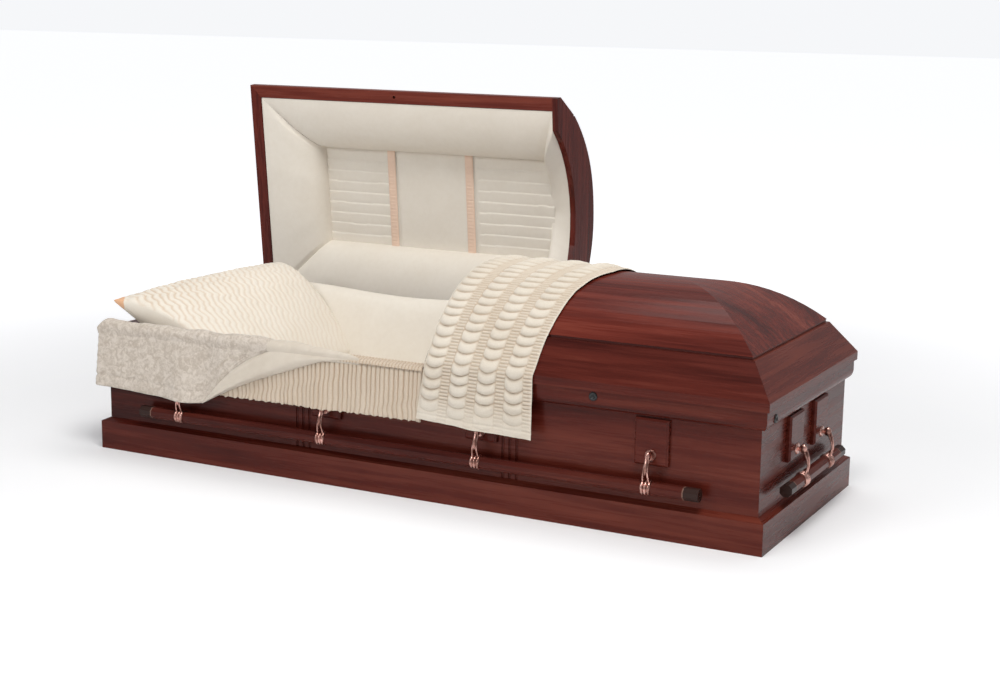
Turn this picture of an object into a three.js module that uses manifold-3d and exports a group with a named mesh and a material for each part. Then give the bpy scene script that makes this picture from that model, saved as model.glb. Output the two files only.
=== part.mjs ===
// A half-couch wooden casket with its head lid open, in millimetres.
// +X points to the foot end, -Y to the front, +Z up. The origin is the centre of the underside.
import * as THREE from 'three';
import { mergeVertices } from 'three/addons/utils/BufferGeometryUtils.js';
import Module from 'manifold-3d';

const wasm = await Module();
wasm.setup();

// Box: the outline is the outer face of the plinth, and insets are measured in from it.
const baseLength = 2120;
const baseWidth = 755;
const bodyHeight = 372.4;
const plinthHeight = 85;
const plinthBevelRise = 10;
const wallInset = 21.5;
const wallThickness = 19;
const floorThickness = 12;
const rimMouldingHeight = 51;
const rimMouldingInset = 3;
const ovoloRadius = 14;
const gap = 0.3;

// Reeded lines and raised blocks on the walls.
const fluteRadius = 4.5;
const fluteSpacing = 21;
const fluteGroupX = 333;
const blockWidth = 94;
const endBlockWidth = 110;
const blockProud = 14;
const blockFootDrop = 27;
const blockTopGap = 5;
const blockBevel = 5;

// Lids: insets are measured in from the lid's own outline.
const lidOverhang = 4;
const partingGap = 0.6;
const splitX = 80;
const splitGap = 3.5;
const fasciaHeight = 23.5;
const skirtRun = 73;
const skirtTop = 113;
const skirtThickness = 27;
const railWidth = 40;
const shadowGap = 8;
const shadowDepth = 8;
const spacerWidth = 17;
const crownRise = 128;
const crownPower = 2.3;
const crownThickness = 12;
const crownFootWidth = 17;
const crownSteps = 12;
const headerThickness = 19;
const archInset = 100;
const archRise = 112;
const latchHoleRadius = 5;
const latchHoleDepth = 16;
const latchHoleInset = 20;
const latchHoleX = -505;

// Hinge: one rod for each lid, behind the back wall, on which the lid's two straps turn.
const hingeStandOff = 28.5;
const hingeLugClearance = 12.5;
const openAngle = 84.3;
const rodRadius = 6;
const rodClearance = 1.2;
const hubRadius = 11;
const strapWidth = 40;
const strapThickness = 6;
const bearingWidth = 24;
const bearingGap = 6;
const bearingMargin = 3;
const rodEndReach = 12;
const strapLap = 3;
const hingePlateThickness = 3;
const hingePlateHeight = 56;
const hingeEndMargin = 150;
const hingeSplitMargin = 60;

// Carrying bars, their arms, and the lugs on which the arms swing.
const barRadius = 18;
const sideBarLength = 1784;
const endBarLength = 470;
const barCapLength = 42;
const barCapGroove = 1.5;
const barAbovePlinth = 53;
const barOffset = 30;
const pivotDrop = 152.4;
const pivotOffset = 14;
const sideArmPitch = 498;
const endArmPitch = 212;
const lugPlateRadius = 16;
const lugPlateThickness = 3;
const tongueWidth = 8;
const tongueRadius = 5;
const armHeadRadius = 10;
const armHeadWidth = 22;
const armForkClearance = 0.6;
const ribRadius = 2.6;
const ribSpreadTop = 11;
const ribSpreadFoot = 16;
const ribBow = 3;
const ribBowAt = 2 / 7;
const clawWidth = 31;
const clawThickness = 4;
const clawGap = 0.5;
const pinRadius = 2;
const pinClearance = 0.5;

// Soft pieces.
const mattressTop = 185;
const mattressRound = 25;
const mattressRoundRun = 30;
const liningThickness = 5;
const liningLift = 5;
const bankReach = 115;
const bankRise = 61.6;
const bankWave = 8;
const bankWaveRun = 130;
const bankStationPitch = 130;
const splitClearance = 4;
const apronStartInset = 460;
const apronHemRise = 7;
const apronTuck = 20;
const apronStationPitch = 42;
const clothThickness = 4;
const clothGap = 0.8;
const hemStandOff = 18;
const hemAbovePivot = 2.4;
const hemBulge = 11;
const hemBulgeReach = 48;
const overlayStartInset = 10;
const overlayHemRise = 6;
const overlayTipInset = 475;
const overlayTipDrop = 34;
const overlayFoldInset = 798;
const overlayLift = 18;
const overlayLiftRun = 500;
const overlayTuck = 60;
const overlayLap = 12;
const overlayCrest = 20;
const overlayDip = 38;
const overlayEnd = 24;
const overlayInner = 8;
const overlayClear = 6;
const clothRest = 1.5;
const overlayStationPitch = 40;
const overApron = 2;
const pillowLow = 3;
const pillowRise = 42;
const pillowDepth = 230;
const pillowPinch = 0.03;
const pillowFullness = 0.45;
const throwWidth = 390;
const throwHemRise = 10;
const throwHemSlope = -14;
const throwStationPitch = 56;
const throwBackY = 235;
const throwThickness = 7;
const throwGap = 2;
const rollWidth = 174;
const panelHeight = 112;
const panelThickness = 6;

// Colours and finishes.
const wood = { color: 0x5a2018, roughness: 0.35, metalness: 0 };
const copper = { color: 0xb98a80, roughness: 0.35, metalness: 0.9 };
const iron = { color: 0x4a4644, roughness: 0.5, metalness: 0.8 };
const satin = { color: 0xe6dccb, roughness: 0.6, metalness: 0 };
const crepe = { color: 0xece2d2, roughness: 0.8, metalness: 0 };

// Values that follow from the sizes above.
const halfLength = baseLength / 2;
const halfWidth = baseWidth / 2;
const wallFace = halfWidth - wallInset;
const wallInner = wallFace - wallThickness;
const endWallInner = halfLength - wallInset - wallThickness;
const blockFace = wallFace + blockProud;
const parting = bodyHeight + partingGap;
const pivotZ = bodyHeight - pivotDrop;
const barZ = plinthHeight + barAbovePlinth;
const blockBottom = pivotZ - blockFootDrop;
const hingeY = halfWidth + hingeStandOff;
const hingeZ = pivotZ + lugPlateRadius + hingeLugClearance + hingePlateHeight / 2;
const lidHalfLength = halfLength + lidOverhang;
const lidHalfWidth = halfWidth + lidOverhang;
const crownInset = skirtRun;
const crownFoot = skirtTop + shadowGap;
const crownRun = lidHalfWidth - crownInset;
const ridgeHeight = crownFoot + crownRise;
const headSplit = splitX - splitGap / 2;
const footSplit = splitX + splitGap / 2;
const mitreGap = gap * 0.75;
const liningFoot = mattressTop + liningLift;
const bankTop = bodyHeight + bankRise;
const apronStartX = apronStartInset - halfLength;
const apronEndX = splitX - splitClearance;
const hemDrop = bodyHeight - pivotZ - hemAbovePivot;
const overlayStartX = overlayStartInset - halfLength;
const overlayTipX = overlayTipInset - halfLength;
const overlayTipZ = pivotZ - overlayTipDrop;
const overlayFoldX = overlayFoldInset - halfLength;
const throwStartX = splitX + splitClearance;
const throwEndX = throwStartX + throwWidth;
// The pillow's corners: in from the head end, in from the front or back wall, and above the rim.
const pillowCorners = [[19, -7, 79.6], [195, 41, 129.6], [485, 75, -37.4], [470, -37, -47.4]].map(
  ([fromEnd, fromWall, rise]) => [
    fromEnd - halfLength,
    fromWall < 0 ? -fromWall - wallInner : wallInner - fromWall,
    bodyHeight + rise,
  ],
);
const clawStart = THREE.MathUtils.degToRad(-85);
const clawSweep = THREE.MathUtils.degToRad(185);
const turns = { front: 0, foot: Math.PI / 2, back: Math.PI, head: -Math.PI / 2 };

const group = new THREE.Group();

// Frames that the pieces are placed in: the open head lid turns about its hinge rod.
const headLidTurn = new THREE.Group();
headLidTurn.position.set(0, hingeY, hingeZ);
headLidTurn.rotation.x = -THREE.MathUtils.degToRad(openAngle);
const headLid = new THREE.Group();
headLid.position.set(0, -hingeY, -hingeZ);
headLidTurn.add(headLid);
group.add(headLidTurn);

/** Adds a named piece made of one geometry, turned about the upright axis, to its parent. */
function add(name, geometry, finish, turn = 0, parent = group) {
  const mesh = new THREE.Mesh(geometry, new THREE.MeshStandardMaterial(finish));
  mesh.name = name;
  mesh.rotation.z = turn;
  parent.add(mesh);
  return mesh;
}

/** A closed three.js geometry as a solid that can be joined and cut. */
function solid(geometry) {
  const bare = new THREE.BufferGeometry();
  bare.setAttribute('position', geometry.attributes.position.clone());
  if (geometry.index) bare.setIndex(geometry.index.clone());
  const merged = mergeVertices(bare, 1e-4);
  const mesh = new wasm.Mesh({
    numProp: 3,
    vertProperties: new Float32Array(merged.attributes.position.array),
    triVerts: new Uint32Array(merged.index.array),
  });
  return new wasm.Manifold(mesh);
}

/** The geometry of a joined or cut solid. */
function surface(body) {
  const mesh = body.getMesh();
  const geometry = new THREE.BufferGeometry();
  geometry.setAttribute('position', new THREE.BufferAttribute(mesh.vertProperties, 3));
  geometry.setIndex(new THREE.BufferAttribute(mesh.triVerts, 1));
  return geometry;
}

/** Joins overlapping geometries into one solid. */
function joined(geometries) {
  return geometries.map(solid).reduce((whole, piece) => whole.add(piece));
}

/** A closed outline from points given as [across, up]. */
function outline(points) {
  return new THREE.Shape(points.map(([a, b]) => new THREE.Vector2(a, b)));
}

/** A block between two corners. */
function block(low, high) {
  const size = high.map((value, i) => value - low[i]);
  return new THREE.BoxGeometry(...size).translate(...low.map((value, i) => value + size[i] / 2));
}

/** An upright section, as [y, z] points, carried along X from one place to another. */
function alongX(section, fromX, toX) {
  const geometry = new THREE.ExtrudeGeometry(outline(section), { depth: 1, bevelEnabled: false });
  const at = geometry.attributes.position;
  for (let i = 0; i < at.count; i += 1) {
    const x = at.getZ(i) < 0.5 ? fromX : toX;
    at.setXYZ(i, x, at.getX(i), at.getY(i));
  }
  return geometry;
}

/** A face outline, as [x, z] points, given a thickness from y = near to y = far. */
function acrossY(face, near, far) {
  const flipped = face.map(([x, z]) => [-x, z]);
  const geometry = new THREE.ExtrudeGeometry(outline(flipped), { depth: far - near, bevelEnabled: false });
  const at = geometry.attributes.position;
  for (let i = 0; i < at.count; i += 1) {
    at.setXYZ(i, -at.getX(i), near + at.getZ(i), at.getY(i));
  }
  return geometry;
}

/**
 * A board of a rectangular frame, as it lies on the front side. Its section is in points of
 * [inset from the outline, height], and each end is a function of the inset, which gives a mitre.
 */
function frameBoard(section, across, startAt, endAt) {
  const geometry = new THREE.ExtrudeGeometry(outline(section), { depth: 1, bevelEnabled: false });
  const at = geometry.attributes.position;
  for (let i = 0; i < at.count; i += 1) {
    const inset = at.getX(i);
    const x = at.getZ(i) < 0.5 ? startAt(inset) : endAt(inset);
    at.setXYZ(i, x, inset - across, at.getY(i));
  }
  return geometry;
}

/** Adds the four mitred boards of a frame round the box. */
function addFrame(name, section, finish, dress = {}) {
  for (const [side, turn] of Object.entries(turns)) {
    const isEnd = side === 'foot' || side === 'head';
    const across = isEnd ? halfLength : halfWidth;
    const along = isEnd ? halfWidth : halfLength;
    const mitre = (inset) => along - inset - mitreGap;
    const board = frameBoard(section, across, (inset) => -mitre(inset), mitre);
    add(`${name}_${side}`, dress[side] ? dress[side](board) : board, finish, turn);
  }
}

// Floor, plinth, walls and rim moulding.

const plinthBack = wallInset - gap;
const plinthSection = [
  [0, 0],
  [plinthBack, 0],
  [plinthBack, plinthHeight + plinthBevelRise],
  [0, plinthHeight],
];

const wallSection = [
  [wallInset, 0],
  [wallInset + wallThickness, 0],
  [wallInset + wallThickness, bodyHeight],
  [wallInset, bodyHeight],
];

/** The rim moulding: a square edge above a quarter round that runs in to the wall. */
function rimSection() {
  const bottom = bodyHeight - rimMouldingHeight;
  const back = wallInset - gap;
  const points = [[back, bodyHeight], [rimMouldingInset, bodyHeight]];
  const roundTop = bottom + ovoloRadius * 1.6;
  for (let i = 0; i <= 4; i += 1) {
    const angle = (i / 4) * (Math.PI / 2);
    const inset = rimMouldingInset + ovoloRadius * (1 - Math.cos(angle));
    points.push([inset, roundTop - (roundTop - bottom) * Math.sin(angle)]);
  }
  points.push([back, bottom]);
  return points;
}

/** A raised block with bevelled edges, glued to the wall's face, centred at x on the front side. */
function raisedBlock(x, width, faceY) {
  const top = bodyHeight - rimMouldingHeight - blockTopGap;
  const height = top - blockBottom;
  const shape = outline([[0, 0], [width, 0], [width, height], [0, height]]);
  const rooted = blockBevel * 2;
  const geometry = new THREE.ExtrudeGeometry(shape, {
    depth: blockProud - blockBevel + rooted - blockBevel,
    bevelThickness: blockBevel,
    bevelSize: blockBevel,
    bevelOffset: -blockBevel,
    bevelSegments: 1,
  });
  geometry.rotateX(Math.PI / 2);
  return geometry.translate(x - width / 2, -faceY + rooted - blockBevel, blockBottom);
}

/** Places of the arms along a side, from one end to the other. */
function armPlaces(side) {
  if (side === 'foot' || side === 'head') return [-endArmPitch / 2, endArmPitch / 2];
  return [-1.5, -0.5, 0.5, 1.5].map((step) => step * sideArmPitch);
}

/** A long wall with raised blocks behind the arms and two groups of three upright flutes. */
function sideWall(board) {
  const blocks = armPlaces('front').map((x) => raisedBlock(x, blockWidth, wallFace));
  const flutes = [];
  for (const centre of [-fluteGroupX, fluteGroupX]) {
    for (const step of [-1, 0, 1]) {
      const flute = new THREE.CylinderGeometry(fluteRadius, fluteRadius, bodyHeight * 1.2, 8);
      flute.rotateX(Math.PI / 2);
      flute.translate(centre + step * fluteSpacing, -wallFace, bodyHeight / 2);
      flutes.push(solid(flute));
    }
  }
  const raised = joined([board, ...blocks]);
  return surface(flutes.reduce((wall, flute) => wall.subtract(flute), raised));
}

/** An end wall with two raised blocks. */
function endWall(board) {
  const face = halfLength - wallInset;
  const blocks = armPlaces('foot').map((x) => raisedBlock(x, endBlockWidth, face));
  return surface(joined([board, ...blocks]));
}

const floorX = endWallInner - gap;
const floorY = wallInner - gap;
add('floor_board', block([-floorX, -floorY, 0], [floorX, floorY, floorThickness]), wood);
addFrame('plinth', plinthSection, wood);
addFrame('wall', wallSection, wood, { front: sideWall, back: sideWall, foot: endWall, head: endWall });
addFrame('rim', rimSection(), wood);

// Lid profile: heights are above the parting plane and insets are in from the lid's outline.

/** Height of the crown's outer face at an inset, rising fast from its foot and level at the ridge. */
function crownHeight(inset) {
  const left = 1 - (inset - crownInset) / crownRun;
  return crownFoot + crownRise * (1 - left ** crownPower);
}

/** Height of the crown's inner face, which keeps about the crown's thickness all the way. */
function crownUnderside(inset) {
  const start = crownInset + crownFootWidth;
  const left = 1 - (inset - start) / (lidHalfWidth - start);
  return crownFoot + (crownRise - crownThickness) * (1 - left ** crownPower);
}

/** Points of a crown face from its foot to the ridge. */
function crownCurve(height, start) {
  const points = [];
  for (let i = 0; i <= crownSteps; i += 1) {
    const inset = start + ((lidHalfWidth - start) * i) / crownSteps;
    points.push([inset, height(inset)]);
  }
  return points;
}

const skirtSlope = (crownFoot - fasciaHeight) / skirtRun;
const skirtInsetAt = (height) => (height - fasciaHeight) / skirtSlope;
const spacerInset = skirtInsetAt(skirtTop) + shadowDepth;

/** The lid's rail: an upright fascia, an inclined skirt, and a spacer that carries the crown. */
const railSection = [
  [0, 0],
  [railWidth, 0],
  [railWidth, fasciaHeight + (railWidth - skirtThickness) * skirtSlope],
  [skirtInsetAt(skirtTop - spacerWidth * 0.3) + skirtThickness, skirtTop - spacerWidth * 0.3],
  [spacerInset + spacerWidth, crownFoot - gap],
  [spacerInset, crownFoot - gap],
  [spacerInset, skirtTop],
  [skirtInsetAt(skirtTop), skirtTop],
  [0, fasciaHeight],
].map(([inset, height]) => [inset, height + parting]);

/** The whole outer profile of a lid, from the front's lower edge over the ridge to the back's. */
function lidProfile() {
  const half = [
    [0, 0],
    [0, fasciaHeight],
    [skirtInsetAt(skirtTop), skirtTop],
    [spacerInset, skirtTop],
    [spacerInset, crownFoot],
    ...crownCurve(crownHeight, crownInset),
  ].map(([inset, height]) => [inset - lidHalfWidth, height + parting]);
  const mirrored = half.slice(0, -1).reverse().map(([y, z]) => [-y, z]);
  return [...half, ...mirrored];
}

/** The shallow arch that is cut from a header board's lower edge, from back to front. */
function archPoints() {
  const chord = lidHalfWidth - archInset;
  const radius = (chord ** 2 + archRise ** 2) / (2 * archRise);
  const sweep = Math.asin(chord / radius);
  const points = [];
  for (let i = 0; i <= crownSteps; i += 1) {
    const angle = sweep - (2 * sweep * i) / crownSteps;
    const height = radius * Math.cos(angle) - (radius - archRise);
    points.push([radius * Math.sin(angle), parting + Math.max(height, 0)]);
  }
  return points;
}

/**
 * A shell over one end of a lid, hipped at the end x and cut square at squareX. The outer and
 * inner curves are points of [inset, height], and both end on the centre line.
 */
function hippedShell(outer, inner, endX, squareX) {
  const loop = [...outer, ...inner.slice().reverse()];
  const vertices = [];
  const corner = (inset, side, x) => [x, side * (lidHalfWidth - inset), 0];
  for (const [inset, height] of loop) {
    for (const [side, x] of [[-1, squareX], [-1, endX - inset], [1, endX - inset], [1, squareX]]) {
      const point = corner(inset, side, x);
      point[2] = height + parting;
      vertices.push(...point);
    }
  }
  const faces = [];
  const quad = (a, b, c, d) => faces.push(a, b, c, a, c, d);
  const count = loop.length;
  for (let i = 0; i < count; i += 1) {
    const next = (i + 1) % count;
    const onCentre = i === outer.length - 1;
    if (onCentre) continue;
    for (let k = 0; k < 3; k += 1) {
      quad(i * 4 + k, i * 4 + k + 1, next * 4 + k + 1, next * 4 + k);
    }
  }
  const cap = [];
  for (let i = 0; i < outer.length; i += 1) cap.push(i * 4);
  for (let i = outer.length - 2; i >= 0; i -= 1) cap.push(i * 4 + 3);
  for (let i = count - 1; i > outer.length; i -= 1) cap.push(i * 4 + 3);
  for (let i = outer.length; i < count; i += 1) cap.push(i * 4);
  const flat = cap.map((v) => new THREE.Vector2(vertices[v * 3 + 1], vertices[v * 3 + 2]));
  for (const [a, b, c] of THREE.ShapeUtils.triangulateShape(flat, [])) {
    faces.push(cap[a], cap[c], cap[b]);
  }
  const geometry = new THREE.BufferGeometry();
  geometry.setAttribute('position', new THREE.Float32BufferAttribute(vertices, 3));
  geometry.setIndex(faces);
  return withoutSlivers(geometry);
}

/** The same surface with its doubled points merged and its collapsed triangles left out. */
function withoutSlivers(geometry) {
  const merged = mergeVertices(geometry, 1e-3);
  const index = merged.index.array;
  const kept = [];
  for (let i = 0; i < index.length; i += 3) {
    const [a, b, c] = [index[i], index[i + 1], index[i + 2]];
    if (a !== b && b !== c && a !== c) kept.push(a, b, c);
  }
  merged.setIndex(kept);
  return merged;
}

/** Adds one lid in its closed place. Its hipped end is at +X before the turn about Z. */
function addLid(name, endSide, squareX, turn, parent) {
  const boardEnd = squareX + headerThickness + gap;
  const mitre = (inset) => lidHalfLength - inset - mitreGap;
  const endMitre = (inset) => lidHalfWidth - inset - mitreGap;
  const nearSide = turn === 0 ? 'front' : 'back';
  const farSide = turn === 0 ? 'back' : 'front';
  const near = frameBoard(railSection, lidHalfWidth, () => boardEnd, mitre);
  const far = frameBoard(railSection, lidHalfWidth, (inset) => -mitre(inset), () => -boardEnd);
  const end = frameBoard(railSection, lidHalfLength, (inset) => -endMitre(inset), endMitre);
  const rails = { [nearSide]: [near, turn], [farSide]: [far, turn + Math.PI] };
  if (name === 'head_lid') rails.front[0] = latchBored(rails.front[0]);
  for (const side of ['front', 'back']) {
    add(`${name}_rail_${side}`, rails[side][0], wood, rails[side][1], parent);
  }
  add(`${name}_rail_${endSide}`, end, wood, turn + Math.PI / 2, parent);
  const outer = crownCurve(crownHeight, crownInset);
  const inner = crownCurve(crownUnderside, crownInset + crownFootWidth);
  const crown = hippedShell(outer, inner, lidHalfLength, boardEnd);
  add(`${name}_crown`, crown, wood, turn, parent);
  const header = alongX([...lidProfile(), ...archPoints()], squareX, squareX + headerThickness);
  add(`${name}_header`, header, wood, turn, parent);
}

/** The front rail with the small latch hole in its underside. */
function latchBored(rail) {
  const hole = new THREE.CylinderGeometry(latchHoleRadius, latchHoleRadius, latchHoleDepth * 2, 10);
  hole.rotateX(Math.PI / 2);
  hole.translate(latchHoleX, latchHoleInset - lidHalfWidth, parting);
  return surface(solid(rail).subtract(solid(hole)));
}

addLid('head_lid', 'head', -headSplit, Math.PI, headLid);
addLid('foot_lid', 'foot', footSplit, 0, group);

/** The head lid's lining: padded rolls inside the rail round a flat panel under the crown. */
function lidLining() {
  const start = railWidth + gap * 4;
  const steps = 7;
  const roll = [];
  for (let i = 0; i <= steps; i += 1) {
    const share = i / steps;
    const height = 2 + (panelHeight - 2) * share ** 1.9;
    roll.push([start + rollWidth * Math.sin((share * Math.PI) / 2) ** 1.1, height]);
  }
  const flank = skirtThickness + gap * 6;
  const top = panelHeight + panelThickness;
  const shoulder = skirtTop - spacerWidth * 0.6;
  const outer = [
    [start, fasciaHeight + (start - flank) * skirtSlope],
    [skirtInsetAt(shoulder) + flank, shoulder],
    [spacerInset + spacerWidth + gap * 6, shoulder + 2],
    [spacerInset + spacerWidth + gap * 6, top],
    [lidHalfWidth, top],
  ];
  const inner = [...roll, [lidHalfWidth, panelHeight]];
  return hippedShell(outer, inner, lidHalfLength, -headSplit + headerThickness + gap * 2);
}

add('head_lid_lining', lidLining(), satin, Math.PI, headLid);

// Hinges behind the back wall.

const headStraps = [-lidHalfLength + hingeEndMargin, headSplit - hingeSplitMargin];
const footStraps = [footSplit + hingeSplitMargin, lidHalfLength - hingeEndMargin];
const bearingOffset = strapWidth / 2 + bearingWidth / 2 + bearingGap;

/** A round bar along X on the hinge line. */
function hingeRound(radius, fromX, toX, sides) {
  const bar = new THREE.CylinderGeometry(radius, radius, toX - fromX, sides);
  bar.rotateZ(Math.PI / 2);
  return bar.translate((fromX + toX) / 2, hingeY, hingeZ);
}

/** A lid's hinge: its rod, and two straps that rise outside the rim and lie flat on the fascia. */
function lidHinge(straps) {
  const near = lidHalfWidth + gap;
  const far = near + strapThickness;
  const strap = [
    [near, parting + fasciaHeight - strapLap],
    [far, parting + fasciaHeight - strapLap],
    [far, parting - 4],
    [hingeY + hubRadius * 0.8, hingeZ + hubRadius * 0.5],
    [hingeY - hubRadius * 0.2, hingeZ + hubRadius * 0.5],
    [near, parting - 14],
  ];
  const reach = strapWidth / 2 + bearingWidth + rodEndReach;
  const pieces = [hingeRound(rodRadius, straps[0] - reach, straps[1] + reach, 10)];
  for (const x of straps) {
    pieces.push(alongX(strap, x - strapWidth / 2, x + strapWidth / 2));
    pieces.push(hingeRound(hubRadius, x - strapWidth / 2, x + strapWidth / 2, 12));
  }
  return surface(joined(pieces));
}

/** The hinge rail: a strip over the back's raised blocks with a bored bearing on each side of a strap. */
function hingeRail() {
  const near = blockFace + gap;
  const far = near + hingePlateThickness;
  const low = hingeZ - hingePlateHeight / 2;
  const boss = hubRadius + bearingMargin;
  let rail = null;
  for (const x of [...headStraps, ...footStraps]) {
    for (const side of [-1, 1]) {
      const centre = x + side * bearingOffset;
      const arm = block(
        [centre - bearingWidth / 2, far - 1, hingeZ - boss],
        [centre + bearingWidth / 2, hingeY + boss, hingeZ + boss],
      );
      rail = rail ? rail.add(solid(arm)) : solid(arm);
    }
  }
  const ends = [headStraps[0] - bearingOffset * 1.6, footStraps[1] + bearingOffset * 1.6];
  rail = rail.add(solid(block([ends[0], near, low], [ends[1], far, low + hingePlateHeight])));
  const bore = hingeRound(rodRadius + rodClearance, ends[0] - hubRadius, ends[1] + hubRadius, 8);
  return surface(rail.subtract(solid(bore)));
}

add('hinge_rail', hingeRail(), iron);
add('head_lid_hinge', lidHinge(headStraps), iron, 0, headLid);
add('foot_lid_hinge', lidHinge(footStraps), iron);

// Carrying bars. Each is drawn for the front side and turned to its own side.

/** How far a side's wall face stands out from the centre of the box. */
const outFrom = (side) => (side === 'foot' || side === 'head' ? halfLength : halfWidth) - wallInset;

/** An eight-sided wooden bar with a fine groove where each metal end cap starts. */
function carryingBar(length, out) {
  const half = length / 2;
  const seam = half - barCapLength;
  const low = barRadius - barCapGroove;
  const profile = [
    [0, -half], [barRadius, -half],
    [barRadius, -seam - 1], [low, -seam - 1], [low, -seam], [barRadius, -seam],
    [barRadius, seam], [low, seam], [low, seam + 1], [barRadius, seam + 1],
    [barRadius, half], [0, half],
  ].map(([radius, along]) => new THREE.Vector2(radius, along));
  const bar = new THREE.LatheGeometry(profile, 8, Math.PI / 8);
  bar.rotateZ(Math.PI / 2);
  return withoutSlivers(onlyPositions(bar)).translate(0, -out - barOffset, barZ);
}

/** The geometry with nothing but its points and faces. */
function onlyPositions(geometry) {
  geometry.deleteAttribute('normal');
  geometry.deleteAttribute('uv');
  return geometry;
}

/** A round pin or drum along X, centred on a point of the yz plane. */
function drum(radius, width, x, y, z, sides = 8) {
  const round = new THREE.CylinderGeometry(radius, radius, width, sides);
  round.rotateZ(Math.PI / 2);
  return round.translate(x, y, z);
}

/** An arm: a forked head on the lug's tongue, two bowed ribs, and a claw round the bar. */
function carryingArm(x, out) {
  const y = -out - blockProud - pivotOffset;
  const barY = -out - barOffset;
  const head = solid(drum(armHeadRadius, armHeadWidth, x, y, pivotZ));
  const slotHalf = tongueWidth / 2 + armForkClearance;
  const slotBack = armHeadRadius + 1;
  const fork = head.subtract(solid(block(
    [x - slotHalf, y - tongueRadius - 1, pivotZ - slotBack],
    [x + slotHalf, y + slotBack, pivotZ + slotBack],
  )));
  const inside = barRadius + clawGap;
  const outside = inside + clawThickness;
  const face = [];
  const clawSteps = 8;
  for (let i = 0; i <= clawSteps; i += 1) {
    const angle = clawStart + (clawSweep * i) / clawSteps;
    face.push([barY - inside * Math.cos(angle), barZ + inside * Math.sin(angle)]);
  }
  for (let i = clawSteps; i >= 0; i -= 1) {
    const angle = clawStart + (clawSweep * i) / clawSteps;
    face.push([barY - outside * Math.cos(angle), barZ + outside * Math.sin(angle)]);
  }
  const claw = alongX(face, x - clawWidth / 2, x + clawWidth / 2);
  const middle = inside + clawThickness / 2;
  const ribs = [-1, 1].map((side) => {
    const path = new THREE.CatmullRomCurve3([
      new THREE.Vector3(x + (side * ribSpreadTop) / 2, y, pivotZ - armHeadRadius + ribRadius),
      new THREE.Vector3(x + (side * ribSpreadTop) / 2, y - ribBow, pivotZ - (pivotZ - barZ) * ribBowAt),
      new THREE.Vector3(x + (side * ribSpreadFoot) / 2, barY - middle * 0.55, barZ + middle * 1.3),
      new THREE.Vector3(x + (side * ribSpreadFoot) / 2, barY - middle * 0.76, barZ + middle * 0.65),
    ]);
    const ring = [];
    for (let k = 0; k < 5; k += 1) {
      const angle = (k * Math.PI * 2) / 5;
      ring.push([ribRadius * Math.cos(angle), ribRadius * Math.sin(angle)]);
    }
    return new THREE.ExtrudeGeometry(outline(ring), { steps: 3, extrudePath: path, bevelEnabled: false });
  });
  const pin = drum(pinRadius, armHeadWidth - 4, x, y, pivotZ, 6);
  return surface([claw, ...ribs, pin].map(solid).reduce((whole, piece) => whole.add(piece), fork));
}

/** A lug: a round plate on the raised block with a bored tongue that the arm's fork straddles. */
function lug(x, out) {
  const plateBack = -out - blockProud - gap;
  const plateFace = plateBack - lugPlateThickness;
  const y = -out - blockProud - pivotOffset;
  const plate = new THREE.CylinderGeometry(lugPlateRadius, lugPlateRadius - 2, lugPlateThickness, 12);
  plate.translate(x, (plateBack + plateFace) / 2, pivotZ);
  const tongue = block(
    [x - tongueWidth / 2, y, pivotZ - tongueRadius],
    [x + tongueWidth / 2, plateFace + 1, pivotZ + tongueRadius],
  );
  const nose = drum(tongueRadius, tongueWidth, x, y, pivotZ);
  const bore = drum(pinRadius + pinClearance, tongueWidth * 2, x, y, pivotZ, 6);
  return surface(joined([plate, tongue, nose]).subtract(solid(bore)));
}

for (const [side, turn] of Object.entries(turns)) {
  const length = side === 'front' || side === 'back' ? sideBarLength : endBarLength;
  const out = outFrom(side);
  add(`bar_${side}`, carryingBar(length, out), wood, turn);
  armPlaces(side).forEach((x, i) => {
    add(`arm_${side}_${i + 1}`, carryingArm(x, out), copper, turn);
    add(`lug_${side}_${i + 1}`, lug(x, out), copper, turn);
  });
}

// Soft pieces. Each is a run of upright sections carried along X.

/** The line moved sideways by a distance, to the left of its direction. */
function offsetLine(points, distance) {
  return points.map(([y, z], i) => {
    const [py, pz] = points[Math.max(i - 1, 0)];
    const [ny, nz] = points[Math.min(i + 1, points.length - 1)];
    const run = Math.hypot(ny - py, nz - pz);
    return [y - (distance * (nz - pz)) / run, z + (distance * (ny - py)) / run];
  });
}

/** A closed section of cloth that lies on a line, from near to far above it. */
function clothSection(points, near, far) {
  return [...offsetLine(points, near), ...offsetLine(points, far).reverse()];
}

/** A solid through sections of equal length, given as [x, points of y and z]. */
function carried(stations) {
  const vertices = [];
  const faces = [];
  const count = stations[0][1].length;
  for (const [x, points] of stations) {
    for (const [y, z] of points) vertices.push(x, y, z);
  }
  const area = THREE.ShapeUtils.area(stations[0][1].map(([y, z]) => new THREE.Vector2(y, z)));
  const face = (a, b, c) => faces.push(...(area > 0 ? [a, b, c] : [a, c, b]));
  for (let s = 0; s < stations.length - 1; s += 1) {
    for (let i = 0; i < count; i += 1) {
      const next = (i + 1) % count;
      const [a, b] = [s * count + i, s * count + next];
      face(a, b, b + count);
      face(a, b + count, a + count);
    }
  }
  const last = (stations.length - 1) * count;
  for (const [base, points, isEnd] of [[0, stations[0][1], false], [last, stations.at(-1)[1], true]]) {
    const flat = points.map(([y, z]) => new THREE.Vector2(y, z));
    for (const [a, b, c] of THREE.ShapeUtils.triangulateShape(flat, [])) {
      if (isEnd) faces.push(base + a, base + b, base + c);
      else faces.push(base + a, base + c, base + b);
    }
  }
  const geometry = new THREE.BufferGeometry();
  geometry.setAttribute('position', new THREE.Float32BufferAttribute(vertices, 3));
  geometry.setIndex(faces);
  return geometry;
}

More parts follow.
